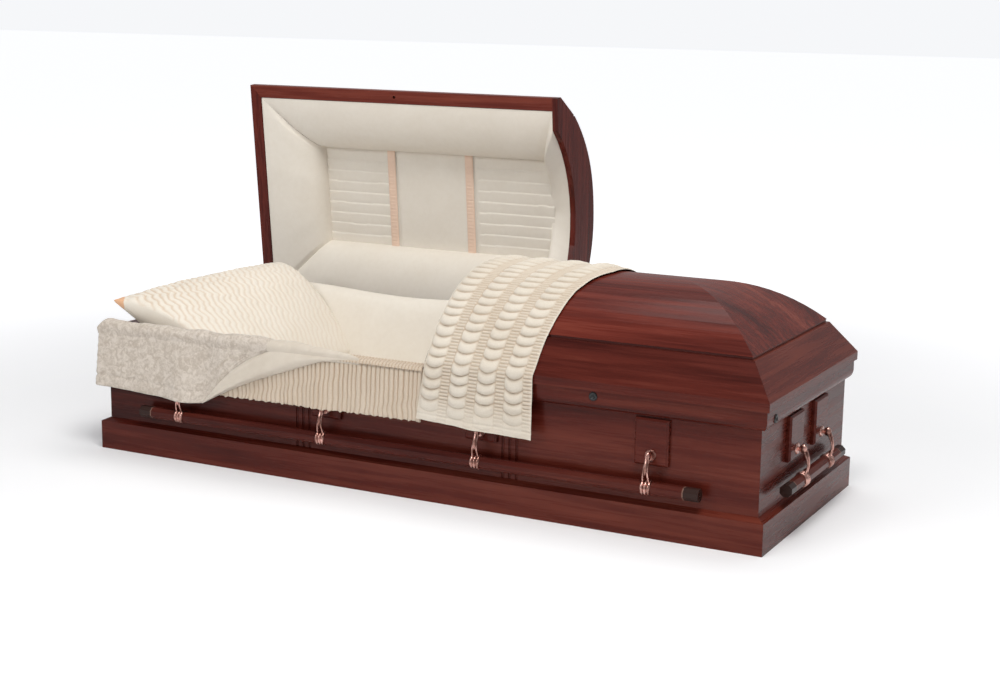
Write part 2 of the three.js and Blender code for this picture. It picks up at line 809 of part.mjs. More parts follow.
/** Even stations from one x to another. */
function stationsFrom(from, to, step) {
  const count = Math.max(1, Math.round((to - from) / step));
  return Array.from({ length: count + 1 }, (_, i) => from + ((to - from) * i) / count);
}

/** How far out a hanging cloth stands at a height: it falls outward to clear the arms' heads. */
function hangOut(x, z, layer) {
  const near = armPlaces('front').map((arm) => Math.exp(-(((x - arm) / hemBulgeReach) ** 2)));
  const hem = blockFace + hemStandOff + hemBulge * Math.max(...near);
  const shoulder = halfWidth - rimMouldingInset + clothGap;
  return -(shoulder + ((hem - shoulder) * (bodyHeight - z)) / hemDrop + layer);
}

/** The points of a hanging cloth from its hem to just under the rim. */
function hangingLine(x, hem, layer) {
  const top = bodyHeight - 6;
  return [0, 1 / 3, 2 / 3, 1].map((share) => {
    const z = hem + (top - hem) * share;
    return [hangOut(x, z, layer), z];
  });
}

const mattressX = endWallInner - 1;
const mattressY = wallInner - 1;
add('mattress', mattress(), crepe);

/** The bed: a low block with a softly rounded top. */
function mattress() {
  const low = floorThickness + gap;
  const section = [
    [-mattressY, low], [mattressY, low],
    [mattressY, mattressTop - mattressRound], [mattressY - mattressRoundRun, mattressTop],
    [mattressRoundRun - mattressY, mattressTop], [-mattressY, mattressTop - mattressRound],
  ];
  return alongX(section, -mattressX, mattressX);
}

/**
 * Section of the padded bank behind the pillow, which stands above the rim at the back. Its face
 * leans back from the foot as a shallow curve, and its top is a half round over the rim.
 */
function bankSection(x, grow) {
  const lift = bankWave * Math.sin((x + halfLength - 60) / bankWaveRun);
  const back = wallInner - gap * 2;
  const foot = wallInner - bankReach;
  const top = bankTop + lift;
  const faceRise = bankTop - liningFoot;
  return [
    [foot - grow, liningFoot - grow],
    [back, liningFoot - grow],
    [back, bodyHeight + 2],
    [back + bankRise * 0.15 + grow, bodyHeight + bankRise * 0.23 - grow],
    [back + bankRise * 0.13 + grow, top - bankRise * 0.36],
    [foot + bankReach * 0.87, top + grow],
    [foot + bankReach * 0.68 - grow, top - bankRise * 0.065 + grow],
    [foot + bankReach * 0.47 - grow, top - bankRise * 0.49],
    [foot + bankReach * 0.3 - grow, liningFoot + faceRise * 0.655],
    [foot + bankReach * 0.157 - grow, liningFoot + faceRise * 0.41],
    [foot + bankReach * 0.052 - grow, liningFoot + faceRise * 0.185],
  ];
}

/** The bank from the head end to the split, grown by a little when it is used as a cutter. */
function bank(grow) {
  const from = -endWallInner + gap * 2;
  return carried(stationsFrom(from, apronEndX, bankStationPitch).map((x) => [x, bankSection(x, grow)]));
}

/** The lining: cloth round the inside of the box, the bank, and the apron over the front rim. */
function bodyLining() {
  const out = wallInner - gap * 2;
  const outX = endWallInner - gap * 2;
  const top = bodyHeight - 1;
  const outer = block([-outX, -out, liningFoot], [outX, out, top]);
  const hollow = block(
    [liningThickness - outX, liningThickness - out, liningFoot - 10],
    [outX - liningThickness, out - liningThickness, top + 10],
  );
  const ring = solid(outer).subtract(solid(hollow));
  const apron = carried(stationsFrom(apronStartX, apronEndX, apronStationPitch).map((x) => {
    const hem = pivotZ + (apronHemRise * (x - apronStartX)) / (apronEndX - apronStartX);
    const line = [
      ...hangingLine(x, hem, 0),
      [rimMouldingInset - halfWidth - clothGap, bodyHeight + clothGap / 2],
      [-out, bodyHeight + clothGap / 2],
      [0.5 - out, bodyHeight - apronTuck],
    ];
    return [x, clothSection(line, 0, clothThickness)];
  }));
  return ring.add(solid(bank(0))).add(solid(apron));
}

add('body_lining', surface(bodyLining()), crepe);

/** The overlay: velvet over the front rim at the head end, with one corner folded back. */
function overlay(grow) {
  const onRim = [
    [-(wallInner - overlayEnd), bodyHeight + clothRest],
    [-(wallInner - overlayEnd * 2), bodyHeight + clothRest],
  ];
  const inBox = [
    [-(wallInner - liningThickness - overlayClear), bodyHeight - overlayLap],
    [-(wallInner - liningThickness - overlayClear * 1.5), bodyHeight - overlayTuck],
  ];
  const corner = -(endWallInner - liningThickness - 4);
  const places = [
    ...stationsFrom(overlayStartX, corner - 1, overlayStationPitch / 2),
    ...stationsFrom(corner + 1, overlayTipX, overlayStationPitch),
    ...stationsFrom(overlayTipX, overlayFoldX, overlayStationPitch).slice(1),
  ];
  return carried(places.map((x) => {
    const toTip = (x - overlayStartX) / (overlayTipX - overlayStartX);
    const toFold = (x - overlayTipX) / (overlayFoldX - overlayTipX);
    const hem = toTip < 1
      ? pivotZ + overlayHemRise - (overlayHemRise + overlayTipDrop) * toTip ** 2
      : overlayTipZ + (bodyHeight - overlayLap - overlayTipZ) * toFold;
    const layer = x > apronStartX - overlayStationPitch ? clothThickness + overApron : 0;
    const lift = overlayLift * Math.max(0, 1 - (x - overlayStartX) / overlayLiftRun);
    const line = [
      ...hangingLine(x, Math.min(hem, bodyHeight - overlayLap), layer),
      [rimMouldingInset - halfWidth - clothGap - layer, bodyHeight + 1 + layer + lift * 0.6],
      [-(halfWidth - overlayCrest), bodyHeight + clothRest * 1.3 + layer + lift],
      [-(halfWidth - overlayDip), bodyHeight + clothRest + layer + lift * 0.7],
      [-(wallInner - overlayInner), bodyHeight + clothRest + layer],
      ...(x < corner ? onRim : inBox),
    ];
    return [x, clothSection(line, -grow, clothThickness + grow)];
  }));
}

add('overlay', overlay(0), { color: 0xcfc0a0, roughness: 0.95, metalness: 0 });

/** The pillow: a wedge of down between a bulging top and a bottom that lies on the bed. */
function pillow() {
  const steps = 10;
  const corners = pillowCorners;
  const vertices = [];
  const faces = [];
  const at = (u, v, k) => {
    const [a, b, c, d] = corners.map((corner) => corner[k]);
    return (a * (1 - v) + b * v) * (1 - u) + (d * (1 - v) + c * v) * u;
  };
  const edge = (u, v) => Math.sin(Math.PI * u) * Math.sin(Math.PI * v);
  for (const side of [1, -1]) {
    for (let i = 0; i <= steps; i += 1) {
      for (let j = 0; j <= steps; j += 1) {
        const [u, v] = [i / steps, j / steps];
        const onSeam = i % steps === 0 || j % steps === 0;
        const puff = onSeam ? 0 : edge(u, v) ** pillowFullness;
        const rise = side > 0 ? pillowRise * puff : -pillowDepth * puff;
        const z = at(u, v, 2) + rise;
        const pinch = 1 - pillowPinch * (Math.sin(Math.PI * u) + Math.sin(Math.PI * v)) * (1 - puff);
        const [cx, cy] = [at(0.5, 0.5, 0), at(0.5, 0.5, 1)];
        vertices.push(
          cx + (at(u, v, 0) - cx) * pinch,
          cy + (at(u, v, 1) - cy) * pinch,
          side > 0 ? z : Math.max(z, mattressTop + pillowLow),
        );
      }
    }
  }
  const row = steps + 1;
  const sheetSize = row * row;
  for (let i = 0; i < steps; i += 1) {
    for (let j = 0; j < steps; j += 1) {
      const a = i * row + j;
      faces.push(a, a + row, a + row + 1, a, a + row + 1, a + 1);
      const b = a + sheetSize;
      faces.push(b, b + row + 1, b + row, b, b + 1, b + row + 1);
    }
  }
  const geometry = new THREE.BufferGeometry();
  geometry.setAttribute('position', new THREE.Float32BufferAttribute(vertices, 3));
  geometry.setIndex(faces);
  const whole = solid(geometry);
  const inner = wallInner - liningThickness - 10;
  const cutters = [
    bank(1),
    overlay(1),
    block([-baseLength, -baseWidth, 0], [0, -inner, bodyHeight + overlayLift + 12]),
    block([-baseLength, -baseWidth, 0], [-(endWallInner - liningThickness - 2), baseWidth, bodyHeight + 3]),
  ];
  return surface(cutters.reduce((body, cutter) => body.subtract(solid(cutter)), whole));
}

add('pillow', pillow(), satin);

/** The throw: a padded cover over the foot lid near the split, from the front hem to the back. */
function footThrow() {
  const curve = crownCurve(crownHeight, crownInset)
    .map(([inset, height]) => [inset - lidHalfWidth, height + parting]);
  const mirrored = curve.slice(0, -1).reverse().map(([y, z]) => [-y, z]);
  const backCurve = mirrored.filter(([y]) => y < throwBackY);
  const fascia = lidHalfWidth + throwGap;
  const reach = throwEndX - throwStartX;
  return carried(stationsFrom(throwStartX, throwEndX, throwStationPitch).map((top) => {
    const share = (top - throwStartX) / reach;
    const hem = pivotZ + throwHemRise + throwHemSlope * (share - 0.5);
    const line = [
      ...hangingLine(top, hem, lidOverhang + rimMouldingInset + 1),
      [-fascia, parting + fasciaHeight],
      [-(lidHalfWidth - crownInset), crownFoot + parting + throwGap],
      ...curve.slice(1).map(([y, z]) => [y, z + throwGap]),
      ...backCurve.map(([y, z]) => [y, z + throwGap]),
    ];
    return [top, clothSection(line, 0, throwThickness)];
  }));
}

add('throw', footThrow(), { color: 0xddceb2, roughness: 0.9, metalness: 0 });

export default group;
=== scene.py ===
"""Half-couch casket: wood and copper finishes, sewn cloth and small fittings, in metres."""
import math

import bpy
import numpy as np
from mathutils import Matrix, Quaternion, Vector


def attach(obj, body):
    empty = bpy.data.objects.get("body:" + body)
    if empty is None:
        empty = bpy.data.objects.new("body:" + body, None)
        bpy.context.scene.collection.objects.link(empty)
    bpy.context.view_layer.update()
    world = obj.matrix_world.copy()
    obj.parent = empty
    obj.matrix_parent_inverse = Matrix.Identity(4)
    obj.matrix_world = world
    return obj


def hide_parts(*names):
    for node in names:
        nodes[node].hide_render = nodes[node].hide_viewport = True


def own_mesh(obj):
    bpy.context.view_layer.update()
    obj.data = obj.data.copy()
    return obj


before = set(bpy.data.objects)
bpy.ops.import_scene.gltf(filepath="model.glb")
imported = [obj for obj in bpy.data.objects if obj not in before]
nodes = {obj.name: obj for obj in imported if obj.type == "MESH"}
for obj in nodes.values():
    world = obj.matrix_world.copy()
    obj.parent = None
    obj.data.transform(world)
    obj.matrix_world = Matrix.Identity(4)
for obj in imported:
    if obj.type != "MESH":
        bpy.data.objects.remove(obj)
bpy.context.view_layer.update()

# Sizes that the cloth and fittings are set out from.
BODY_TOP, PARTING = 0.3724, 0.3730
LID_HALF_LENGTH, LID_HALF_WIDTH = 1.064, 0.3815
FOOT_SPLIT, HEADER = 0.08175, 0.019
HINGE_Y, HINGE_Z, OPEN_TURN = 0.406, 0.2765, math.radians(84.3)
WALL_INNER, END_WALL_INNER = 0.337, 1.0195
ARM_PLACES = np.array([-0.747, -0.249, 0.249, 0.747])
END_ARM_PLACES = np.array([-0.106, 0.106])
PIVOT_Z, PIVOT_OUT, END_PIVOT_OUT = 0.220, 0.384, 1.0665
BAR_Z, BAR_REACH, BAR_RADIUS = 0.138, 0.002, 0.018
CROWN_INSET, CROWN_FOOT, CROWN_RISE, CROWN_POWER = 0.073, 0.121, 0.128, 2.3
RIM_INNER, RIM_EDGE, RIM_FACE, RIM_DROP = 0.3315, 0.3760, 0.3753, 0.150
APRON_START, APRON_END = -0.600, 0.076
PALE, GLOW = (0.93, 0.93, 0.94, 1), (0.97, 0.98, 1.0, 1)


# shader nodes

def feed(tree, socket, value):
    """Gives a socket a plain value, or links the socket that feeds it."""
    if isinstance(value, bpy.types.NodeSocket):
        tree.links.new(value, socket)
    else:
        socket.default_value = value


def feed_all(tree, node, **inputs):
    """Feeds several inputs of a node by name, with a low line for each space."""
    for key, value in inputs.items():
        feed(tree, node.inputs[key.replace("_", " ")], value)


def put(tree, kind, settings=(), **inputs):
    """Adds a shader node and feeds its inputs."""
    made = tree.nodes.new(kind)
    for key, value in dict(settings).items():
        setattr(made, key, value)
    feed_all(tree, made, **inputs)
    return made


def maths(tree, operation, *values):
    """One arithmetic step on numbers or sockets."""
    made = put(tree, "ShaderNodeMath", {"operation": operation})
    for socket, value in zip(made.inputs, values):
        feed(tree, socket, value)
    return made.outputs[0]


def noise(tree, place, scale, detail, **more):
    """The value of a noise pattern."""
    return put(tree, "ShaderNodeTexNoise", Vector=place, Scale=scale, Detail=detail, **more).outputs["Fac"]


def blended(tree, share, first, second):
    """A colour between two others."""
    made = put(tree, "ShaderNodeMix", {"data_type": "RGBA"})
    for socket, value in ((made.inputs[0], share), (made.inputs[6], first), (made.inputs[7], second)):
        feed(tree, socket, value)
    return made.outputs[2]


def ranged(tree, value, low, high, to_low=0.0, to_high=1.0, settings=()):
    """The value carried from one range to another, held at its ends."""
    return put(tree, "ShaderNodeMapRange", settings, Value=value, From_Min=low, From_Max=high,
               To_Min=to_low, To_Max=to_high).outputs[0]


def blank(name):
    """A new material: the material, its tree, its shader and the object coordinates."""
    material = bpy.data.materials.new(name)
    material.use_nodes = True
    tree = material.node_tree
    return material, tree, tree.nodes["Principled BSDF"], put(tree, "ShaderNodeTexCoord").outputs["Object"]


# camera, light and floor

def photograph_camera():
    """The camera at the photograph's place, solved from the casket's straight edges."""
    data = bpy.data.cameras.new("photograph view")
    data.sensor_width = 36.0
    data.lens = 62.282
    data.shift_x, data.shift_y = -0.00052, -0.00018
    data.clip_end = 60.0
    camera = bpy.data.objects.new("photograph view", data)
    bpy.context.collection.objects.link(camera)
    turn = Vector((1.727880342, 0.435464668, -0.336261372))
    to_view = Quaternion(turn.normalized(), turn.length).to_matrix()
    flip = Matrix(((1, 0, 0), (0, -1, 0), (0, 0, -1)))
    placed = (to_view.transposed() @ flip).to_4x4()
    placed.translation = Vector((2.3890567, -4.3735674, 1.3760716))
    camera.matrix_world = placed
    bpy.context.scene.camera = camera


def soft_box(name, place, aim, size, power, tint=(1, 1, 1)):
    """A rectangular studio light that points at aim."""
    data = bpy.data.lights.new(name, "AREA")
    data.shape = "RECTANGLE"
    data.size, data.size_y = size
    data.energy = power
    data.color = tint
    light = bpy.data.objects.new(name, data)
    light.location = place
    light.rotation_euler = (Vector(aim) - Vector(place)).to_track_quat("-Z", "Y").to_euler()
    bpy.context.collection.objects.link(light)


def studio():
    """A white floor and surround, a broad light from above and softer ones from the front and the foot.
    What the camera sees straight on is paler than what lights the casket, and the floor fades into the
    surround by its distance from the middle."""
    world = bpy.data.worlds.new("pale surround")
    bpy.context.scene.world = world
    world.use_nodes = True
    tree = world.node_tree
    seen = put(tree, "ShaderNodeLightPath").outputs["Is Camera Ray"]
    lights_casket, camera_sees = 0.38, 0.95
    strength = ranged(tree, seen, 0.0, 1.0, lights_casket, camera_sees)
    feed_all(tree, tree.nodes["Background"], Color=GLOW, Strength=strength)
    bpy.context.scene.view_settings.view_transform = "Standard"
    soft_box("key", (1.5, -1.9, 4.5), (0, 0, 0.3), (2.2, 1.8), 140, (1, 0.99, 0.97))
    soft_box("front fill", (-1.9, -5.2, 2.9), (-0.2, 0, 0.5), (2.6, 1.6), 74)
    soft_box("foot fill", (4.4, -0.6, 2.4), (0.6, 0, 0.3), (1.8, 1.6), 7)
    soft_box("top", (0.4, 1.2, 4.4), (0.1, 0.1, 0.4), (3.0, 2.0), 50)
    far = 40
    mesh = bpy.data.meshes.new("floor")
    mesh.from_pydata([(-far, -far, 0), (far, -far, 0), (far, far, 0), (-far, far, 0)], [], [(0, 1, 2, 3)])
    floor = bpy.data.objects.new("floor", mesh)
    bpy.context.collection.objects.link(floor)
    paint, tree, shader, place = blank("pale floor")
    distance = put(tree, "ShaderNodeVectorMath", {"operation": "LENGTH"})
    feed(tree, distance.inputs[0], place)
    near, away, glow = 1.2, 4.6, 0.66
    fade = ranged(tree, distance.outputs["Value"], near, away, 0.0, glow,
                  {"interpolation_type": "SMOOTHSTEP"})
    seen = put(tree, "ShaderNodeLightPath").outputs["Is Camera Ray"]
    feed_all(tree, shader, Base_Color=PALE, Roughness=0.8, Specular_IOR_Level=0.1, Emission_Color=GLOW,
             Emission_Strength=maths(tree, "MULTIPLY", fade, seen))
    mesh.materials.append(paint)


photograph_camera()
studio()


# finishes

def effect(name, inputs, outputs):
    """An empty shader node group with named sockets, and its two end nodes."""
    tree = bpy.data.node_groups.new(name, "ShaderNodeTree")
    for label, kind, value in inputs:
        socket = tree.interface.new_socket(label, in_out="INPUT", socket_type=kind)
        if value is not None:
            socket.default_value = value
    for label, kind in outputs:
        tree.interface.new_socket(label, in_out="OUTPUT", socket_type=kind)
    return tree, tree.nodes.new("NodeGroupInput").outputs, tree.nodes.new("NodeGroupOutput").inputs


def board_grain():
    """Streaks of stained grain along a board, with slow bands, fine streaks and open pores."""
    tree, given, result = effect(
        "board grain",
        [("Place", "NodeSocketVector", None), ("Dark", "NodeSocketColor", (0.03, 0.007, 0.004, 1)),
         ("Middle", "NodeSocketColor", (0.1, 0.022, 0.011, 1)),
         ("Light", "NodeSocketColor", (0.2, 0.05, 0.024, 1))],
        [("Color", "NodeSocketColor"), ("Gloss", "NodeSocketFloat"), ("Height", "NodeSocketFloat")],
    )
    bands = noise(tree, given["Place"], 6.0, 3.0, Distortion=0.8)
    streaks = noise(tree, given["Place"], 55.0, 6.0, Roughness=0.62)
    pores = noise(tree, given["Place"], 420.0, 2.0)
    tone = maths(tree, "ADD", maths(tree, "MULTIPLY", bands, 0.6), maths(tree, "MULTIPLY", streaks, 0.4))
    lower = blended(tree, ranged(tree, tone, 0.36, 0.5), given["Dark"], given["Middle"])
    colour = blended(tree, ranged(tree, tone, 0.5, 0.64), lower, given["Light"])
    open_pores = ranged(tree, pores, 0.6, 0.72)
    feed(tree, result["Color"], colour)
    feed(tree, result["Gloss"], ranged(tree, streaks, 0.3, 0.7, 0.2, 0.34))
    feed(tree, result["Height"], maths(tree, "SUBTRACT", maths(tree, "MULTIPLY", streaks, 0.35), open_pores))
    return tree


def crinkled_cloth():
    """Cloth with a fine crinkle, a weave, slow changes of tone, and painted shade in the low parts of the
    crinkle.
    """
    tree, given, result = effect(
        "crinkled cloth",
        [("Place", "NodeSocketVector", None), ("Crinkle", "NodeSocketFloat", 240.0),
         ("Base", "NodeSocketColor", (0.8, 0.72, 0.58, 1)),
         ("Shade", "NodeSocketColor", (0.6, 0.5, 0.36, 1))],
        [("Color", "NodeSocketColor"), ("Height", "NodeSocketFloat")],
    )
    crinkle = noise(tree, given["Place"], given["Crinkle"], 3.0, Roughness=0.6)
    cloud = noise(tree, given["Place"], 9.0, 3.0)
    warp, weft = [put(tree, "ShaderNodeTexWave", {"bands_direction": way}, Vector=given["Place"],
                      Scale=420.0, Distortion=1.5).outputs["Fac"] for way in "XZ"]
    threads = maths(tree, "MULTIPLY", warp, weft)
    # the second part of the share is painted shade: darker where the crinkle is low
    share = maths(tree, "ADD", maths(tree, "MULTIPLY", ranged(tree, cloud, 0.35, 0.7), 0.35),
                  maths(tree, "MULTIPLY", ranged(tree, crinkle, 0.62, 0.35), 0.25))
    feed(tree, result["Color"], blended(tree, share, given["Base"], given["Shade"]))
    feed(tree, result["Height"], maths(tree, "ADD", crinkle, maths(tree, "MULTIPLY", threads, 0.25)))
    return tree


def crushed_pile():
    """Velvet whose pile lies in patches, some catching the light and some turned from it."""
    tree, given, result = effect(
        "crushed pile",
        [("Place", "NodeSocketVector", None), ("Bright", "NodeSocketColor", (0.85, 0.8, 0.7, 1)),
         ("Dull", "NodeSocketColor", (0.6, 0.52, 0.4, 1))],
        [("Color", "NodeSocketColor"), ("Gloss", "NodeSocketFloat"), ("Height", "NodeSocketFloat")],
    )
    patches = noise(tree, given["Place"], 52.0, 5.0, Roughness=0.65, Distortion=1.2)
    tufts = noise(tree, given["Place"], 150.0, 3.0, Roughness=0.7)
    pile = maths(tree, "ADD", maths(tree, "MULTIPLY", patches, 0.7), maths(tree, "MULTIPLY", tufts, 0.3))
    feed(tree, result["Color"], blended(tree, ranged(tree, pile, 0.42, 0.58), given["Dull"], given["Bright"]))
    feed(tree, result["Gloss"], ranged(tree, pile, 0.4, 0.62, 0.75, 0.42))
    feed(tree, result["Height"], pile)
    return tree


BOARD_GRAIN, CRINKLED_CLOTH, CRUSHED_PILE = board_grain(), crinkled_cloth(), crushed_pile()


def placed_effect(tree, group, **inputs):
    """A node group in a material, with this material's own values."""
    return put(tree, "ShaderNodeGroup", {"node_tree": group}, **inputs)


def raised(tree, height, strength, depth):
    """A bump from a height."""
    bump = put(tree, "ShaderNodeBump", Height=height, Strength=strength, Distance=depth)
    return bump.outputs["Normal"]


DARK_RED, MID_RED, LIGHT_RED = (0.034, 0.0042, 0.0028), (0.084, 0.0125, 0.0074), (0.152, 0.0330, 0.0195)
# Dark metal for the bar caps, and a pale band at their seams that is partly the rim's own colour and partly a
# painted highlight.
CAP_METAL, CAP_RIM_AND_HIGHLIGHT, RIM_HIGHLIGHT_WIDTH = (0.030, 0.014, 0.011, 1), (0.23, 0.13, 0.10, 1), 0.0016


def lacquered_wood(name, along, seed=0.0, lift=1.0, cap=None):
    """Stained lacquered wood with its grain drawn out along one axis; cap is (axis, distance) of dark metal
    bar ends, which begin with a thin pale band, partly the cap's own rim and partly a painted highlight."""
    material, tree, shader, place = blank(name)
    stretch = tuple(0.045 if axis == along else 1.0 for axis in "XYZ")
    moved = put(tree, "ShaderNodeMapping", Vector=place, Location=(seed, seed * 0.7, seed * 1.3),
                Scale=stretch).outputs[0]
    tones = [tuple(lift * part for part in tone) + (1,) for tone in (DARK_RED, MID_RED, LIGHT_RED)]
    grain = placed_effect(tree, BOARD_GRAIN, Place=moved, Dark=tones[0], Middle=tones[1], Light=tones[2])
    colour = grain.outputs["Color"]
    if cap:
        axis, distance = cap
        apart = put(tree, "ShaderNodeSeparateXYZ", Vector=place).outputs[axis]
        past = maths(tree, "SUBTRACT", maths(tree, "ABSOLUTE", apart), distance)
        colour = blended(tree, maths(tree, "GREATER_THAN", past, 0.0), colour, CAP_METAL)
        # a thin pale band at the seam: partly the cap's own rim, partly a painted highlight
        ring = maths(tree, "LESS_THAN", maths(tree, "ABSOLUTE", past), RIM_HIGHLIGHT_WIDTH)
        colour = blended(tree, ring, colour, CAP_RIM_AND_HIGHLIGHT)
    feed_all(tree, shader, Base_Color=colour, Roughness=grain.outputs["Gloss"],
             Normal=raised(tree, grain.outputs["Height"], 0.12, 0.0006),
             Specular_IOR_Level=0.13, Coat_Weight=0.055, Coat_Roughness=0.12)
    return material


def soft_cloth(name, base, shade, crinkle=240.0, rough=0.85, sheen=0.2, bump=0.35,
               painted_fold_shade=(0.56, 0.38, 0.23, 1)):
    """Crepe or satin: a crinkled cloth with a soft sheen, and painted shade in its folds, a warmer and darker
    colour where a piece's fold value is high.
    """
    material, tree, shader, place = blank(name)
    cloth = placed_effect(tree, CRINKLED_CLOTH, Place=place, Crinkle=crinkle, Base=base, Shade=shade)
    # each point's share of painted fold shade
    depth = put(tree, "ShaderNodeAttribute", {"attribute_name": "painted_fold_shade"}).outputs["Fac"]
    feed_all(tree, shader, Base_Color=blended(tree, depth, cloth.outputs["Color"], painted_fold_shade),
             Normal=raised(tree, cloth.outputs["Height"], bump, 0.0012),
             Roughness=rough, Sheen_Weight=sheen, Sheen_Roughness=0.4)
    return material


def crushed_velvet(name, bright, dull):
    """Velvet with its pile crushed in patches."""
    material, tree, shader, place = blank(name)
    pile = placed_effect(tree, CRUSHED_PILE, Place=place, Bright=bright, Dull=dull)
    feed_all(tree, shader, Base_Color=pile.outputs["Color"], Roughness=pile.outputs["Gloss"],
             Normal=raised(tree, pile.outputs["Height"], 0.5, 0.003),
             Sheen_Weight=0.45, Sheen_Roughness=0.35)
    return material


def plated_copper(name, bright, dark):
    """Antique copper plate: rubbed bright with darker toning and fine brushing."""
    material, tree, shader, place = blank(name)
    brushed = noise(tree, place, 900.0, 2.0)
    toning = ranged(tree, noise(tree, place, 60.0, 4.0), 0.4, 0.62)
    feed_all(tree, shader, Base_Color=blended(tree, toning, dark, bright), Metallic=1.0,
             Roughness=ranged(tree, brushed, 0.3, 0.7, 0.22, 0.36),
             Normal=raised(tree, brushed, 0.08, 0.0004))
    return material


def blackened_iron(name):
    """Plain dark hinge iron with a faint cast skin."""
    material, tree, shader, place = blank(name)
    skin = noise(tree, place, 300.0, 4.0)
    feed_all(tree, shader, Base_Color=blended(tree, skin, (0.02, 0.019, 0.018, 1), (0.06, 0.057, 0.054, 1)),
             Roughness=ranged(tree, skin, 0.3, 0.7, 0.4, 0.6), Normal=raised(tree, skin, 0.15, 0.0005),
             Metallic=0.9)
    return material


def black_plastic(name):
    """Plain black moulding, a little uneven in its gloss."""
    material, tree, shader, place = blank(name)
    gloss = ranged(tree, noise(tree, place, 500.0, 2.0), 0.3, 0.7, 0.3, 0.45)
    feed_all(tree, shader, Base_Color=(0.01, 0.01, 0.01, 1), Roughness=gloss)
    return material


WOOD_X = lacquered_wood("wood, grain along the casket", "X")
WOOD_Y = lacquered_wood("wood, grain across the casket", "Y", 3.1)
WOOD_Z = lacquered_wood("wood, grain upright", "Z", 5.7, 1.5)
# The crown's wood, also used for the open lid's front rail, is the same wood painted lighter for the light
# from above.
CROWN_WOOD_PAINTED_LIT = lacquered_wood("wood of the crown", "X", 8.3, 1.34)
SIDE_BAR = lacquered_wood("side bar", "X", 2.2, 0.8, ("X", 0.8500))
END_BAR = lacquered_wood("end bar", "Y", 2.9, 0.8, ("Y", 0.1930))
COPPER = plated_copper("antique copper", (0.72, 0.42, 0.36, 1), (0.30, 0.15, 0.12, 1))
IRON = blackened_iron("hinge iron")
CREPE = soft_cloth("ivory crepe", (0.79, 0.73, 0.64, 1), (0.72, 0.64, 0.53, 1))
# The last colour given to the apron here, and to the throw cloth below, is the painted shade in their folds.
APRON = soft_cloth("apron crepe", (0.61, 0.515, 0.41, 1), (0.51, 0.41, 0.305, 1),
                   painted_fold_shade=(0.34, 0.21, 0.12, 1))
SMOOTH = soft_cloth("smooth ivory lining", (0.78, 0.725, 0.64, 1), (0.72, 0.655, 0.56, 1),
                    60.0, 0.7, 0.2, 0.14)
PEACH = soft_cloth("peach satin", (0.80, 0.60, 0.47, 1), (0.72, 0.50, 0.37, 1), 120.0, 0.45, 0.3, 0.12)
TIP = soft_cloth("peach tip", (0.78, 0.46, 0.27, 1), (0.66, 0.34, 0.17, 1), 120.0, 0.5, 0.3, 0.12)
SATIN = soft_cloth("satin back", (0.64, 0.57, 0.48, 1), (0.53, 0.455, 0.365, 1), 30.0, 0.36, 0.3, 0.16)
VELVET = crushed_velvet("crushed velvet", (0.63, 0.56, 0.485, 1), (0.47, 0.40, 0.33, 1))
COVER = soft_cloth("throw cloth", (0.68, 0.62, 0.53, 1), (0.57, 0.49, 0.39, 1),
                   300.0, 0.9, 0.2, 0.4, (0.46, 0.34, 0.235, 1))
BLACK = black_plastic("black lock plug")


for name, node in nodes.items():
    if name.startswith(("arm_", "lug_")):
        finish = COPPER
    elif "hinge" in name:
        finish = IRON
    elif name in ("bar_front", "bar_back"):
        finish = SIDE_BAR
    elif name in ("bar_head", "bar_foot"):
        finish = END_BAR
    elif name in ("head_lid_rail_head", "head_lid_header"):
        finish = WOOD_Z
    # crowns and the open lid's front rail take the wood painted lighter for the light from above
    elif name.endswith("_crown") or name == "head_lid_rail_front":
        finish = CROWN_WOOD_PAINTED_LIT
    elif name == "foot_lid_header" or name.endswith(("_head", "_foot")):
        finish = WOOD_Y
    else:
        finish = WOOD_X
    node.data.materials.clear()
    node.data.materials.append(finish)


# surfaces

def gridded(parts):
    """Points and faces of several grids as one mesh; a part is (points, closed), and a closed part joins
    its last column to its first."""
    points, faces, used = [], [], 0
    for grid, closed in parts:
        rows, columns = grid.shape[:2]
        index = np.arange(rows * columns).reshape(rows, columns) + used
        if closed:
            index = np.hstack([index, index[:, :1]])
        corners = [index[:-1, :-1], index[:-1, 1:], index[1:, 1:], index[1:, :-1]]
        faces.append(np.stack(corners, axis=-1).reshape(-1, 4))
        points.append(grid.reshape(-1, 3))
        used += rows * columns
    return np.concatenate(points), np.concatenate(faces)


def made_of(name, points, faces, finish, body, slot):
    """A smooth piece from points and faces, riding a body."""
    mesh = bpy.data.meshes.new(name)
    mesh.from_pydata(points.tolist(), [], faces.tolist())
    mesh.materials.append(finish)
    mesh.polygons.foreach_set("use_smooth", np.ones(len(mesh.polygons), dtype=bool))
    made = bpy.data.objects.new(name, mesh)
    bpy.context.collection.objects.link(made)
    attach(made, body)
    return made


def paint_fold_shade(made, depth):
    """Keeps with each point how deep it lies in a fold, from 0 to 1, which darkens the cloth there as painted
    shade.
    """
    kept = made.data.attributes.new("painted_fold_shade", "FLOAT", "POINT")
    kept.data.foreach_set("value", depth.astype(np.float32).ravel())


def surface(name, points, finish, body, slot, closed=False, turned_over=False, thickness=0.0,
            solid_side=0.0, painted_fold_shade=None):
    """A smooth surface through an array of points (rows, columns, 3). Closed joins the last column to
    the first, turned_over faces it the other way, and a thickness makes it cloth with two faces, both
    sides of the points or, with solid_side -1, behind them."""
    flat, faces = gridded([(points, closed)])
    if turned_over:
        faces = faces[:, ::-1]
    made = made_of(name, flat, faces, finish, body, slot)
    if painted_fold_shade is not None:
        paint_fold_shade(made, np.broadcast_to(painted_fold_shade, points.shape[:2]))
    if thickness:
        wall = made.modifiers.new("cloth", "SOLIDIFY")
        wall.thickness = thickness
        wall.offset = solid_side
    return made


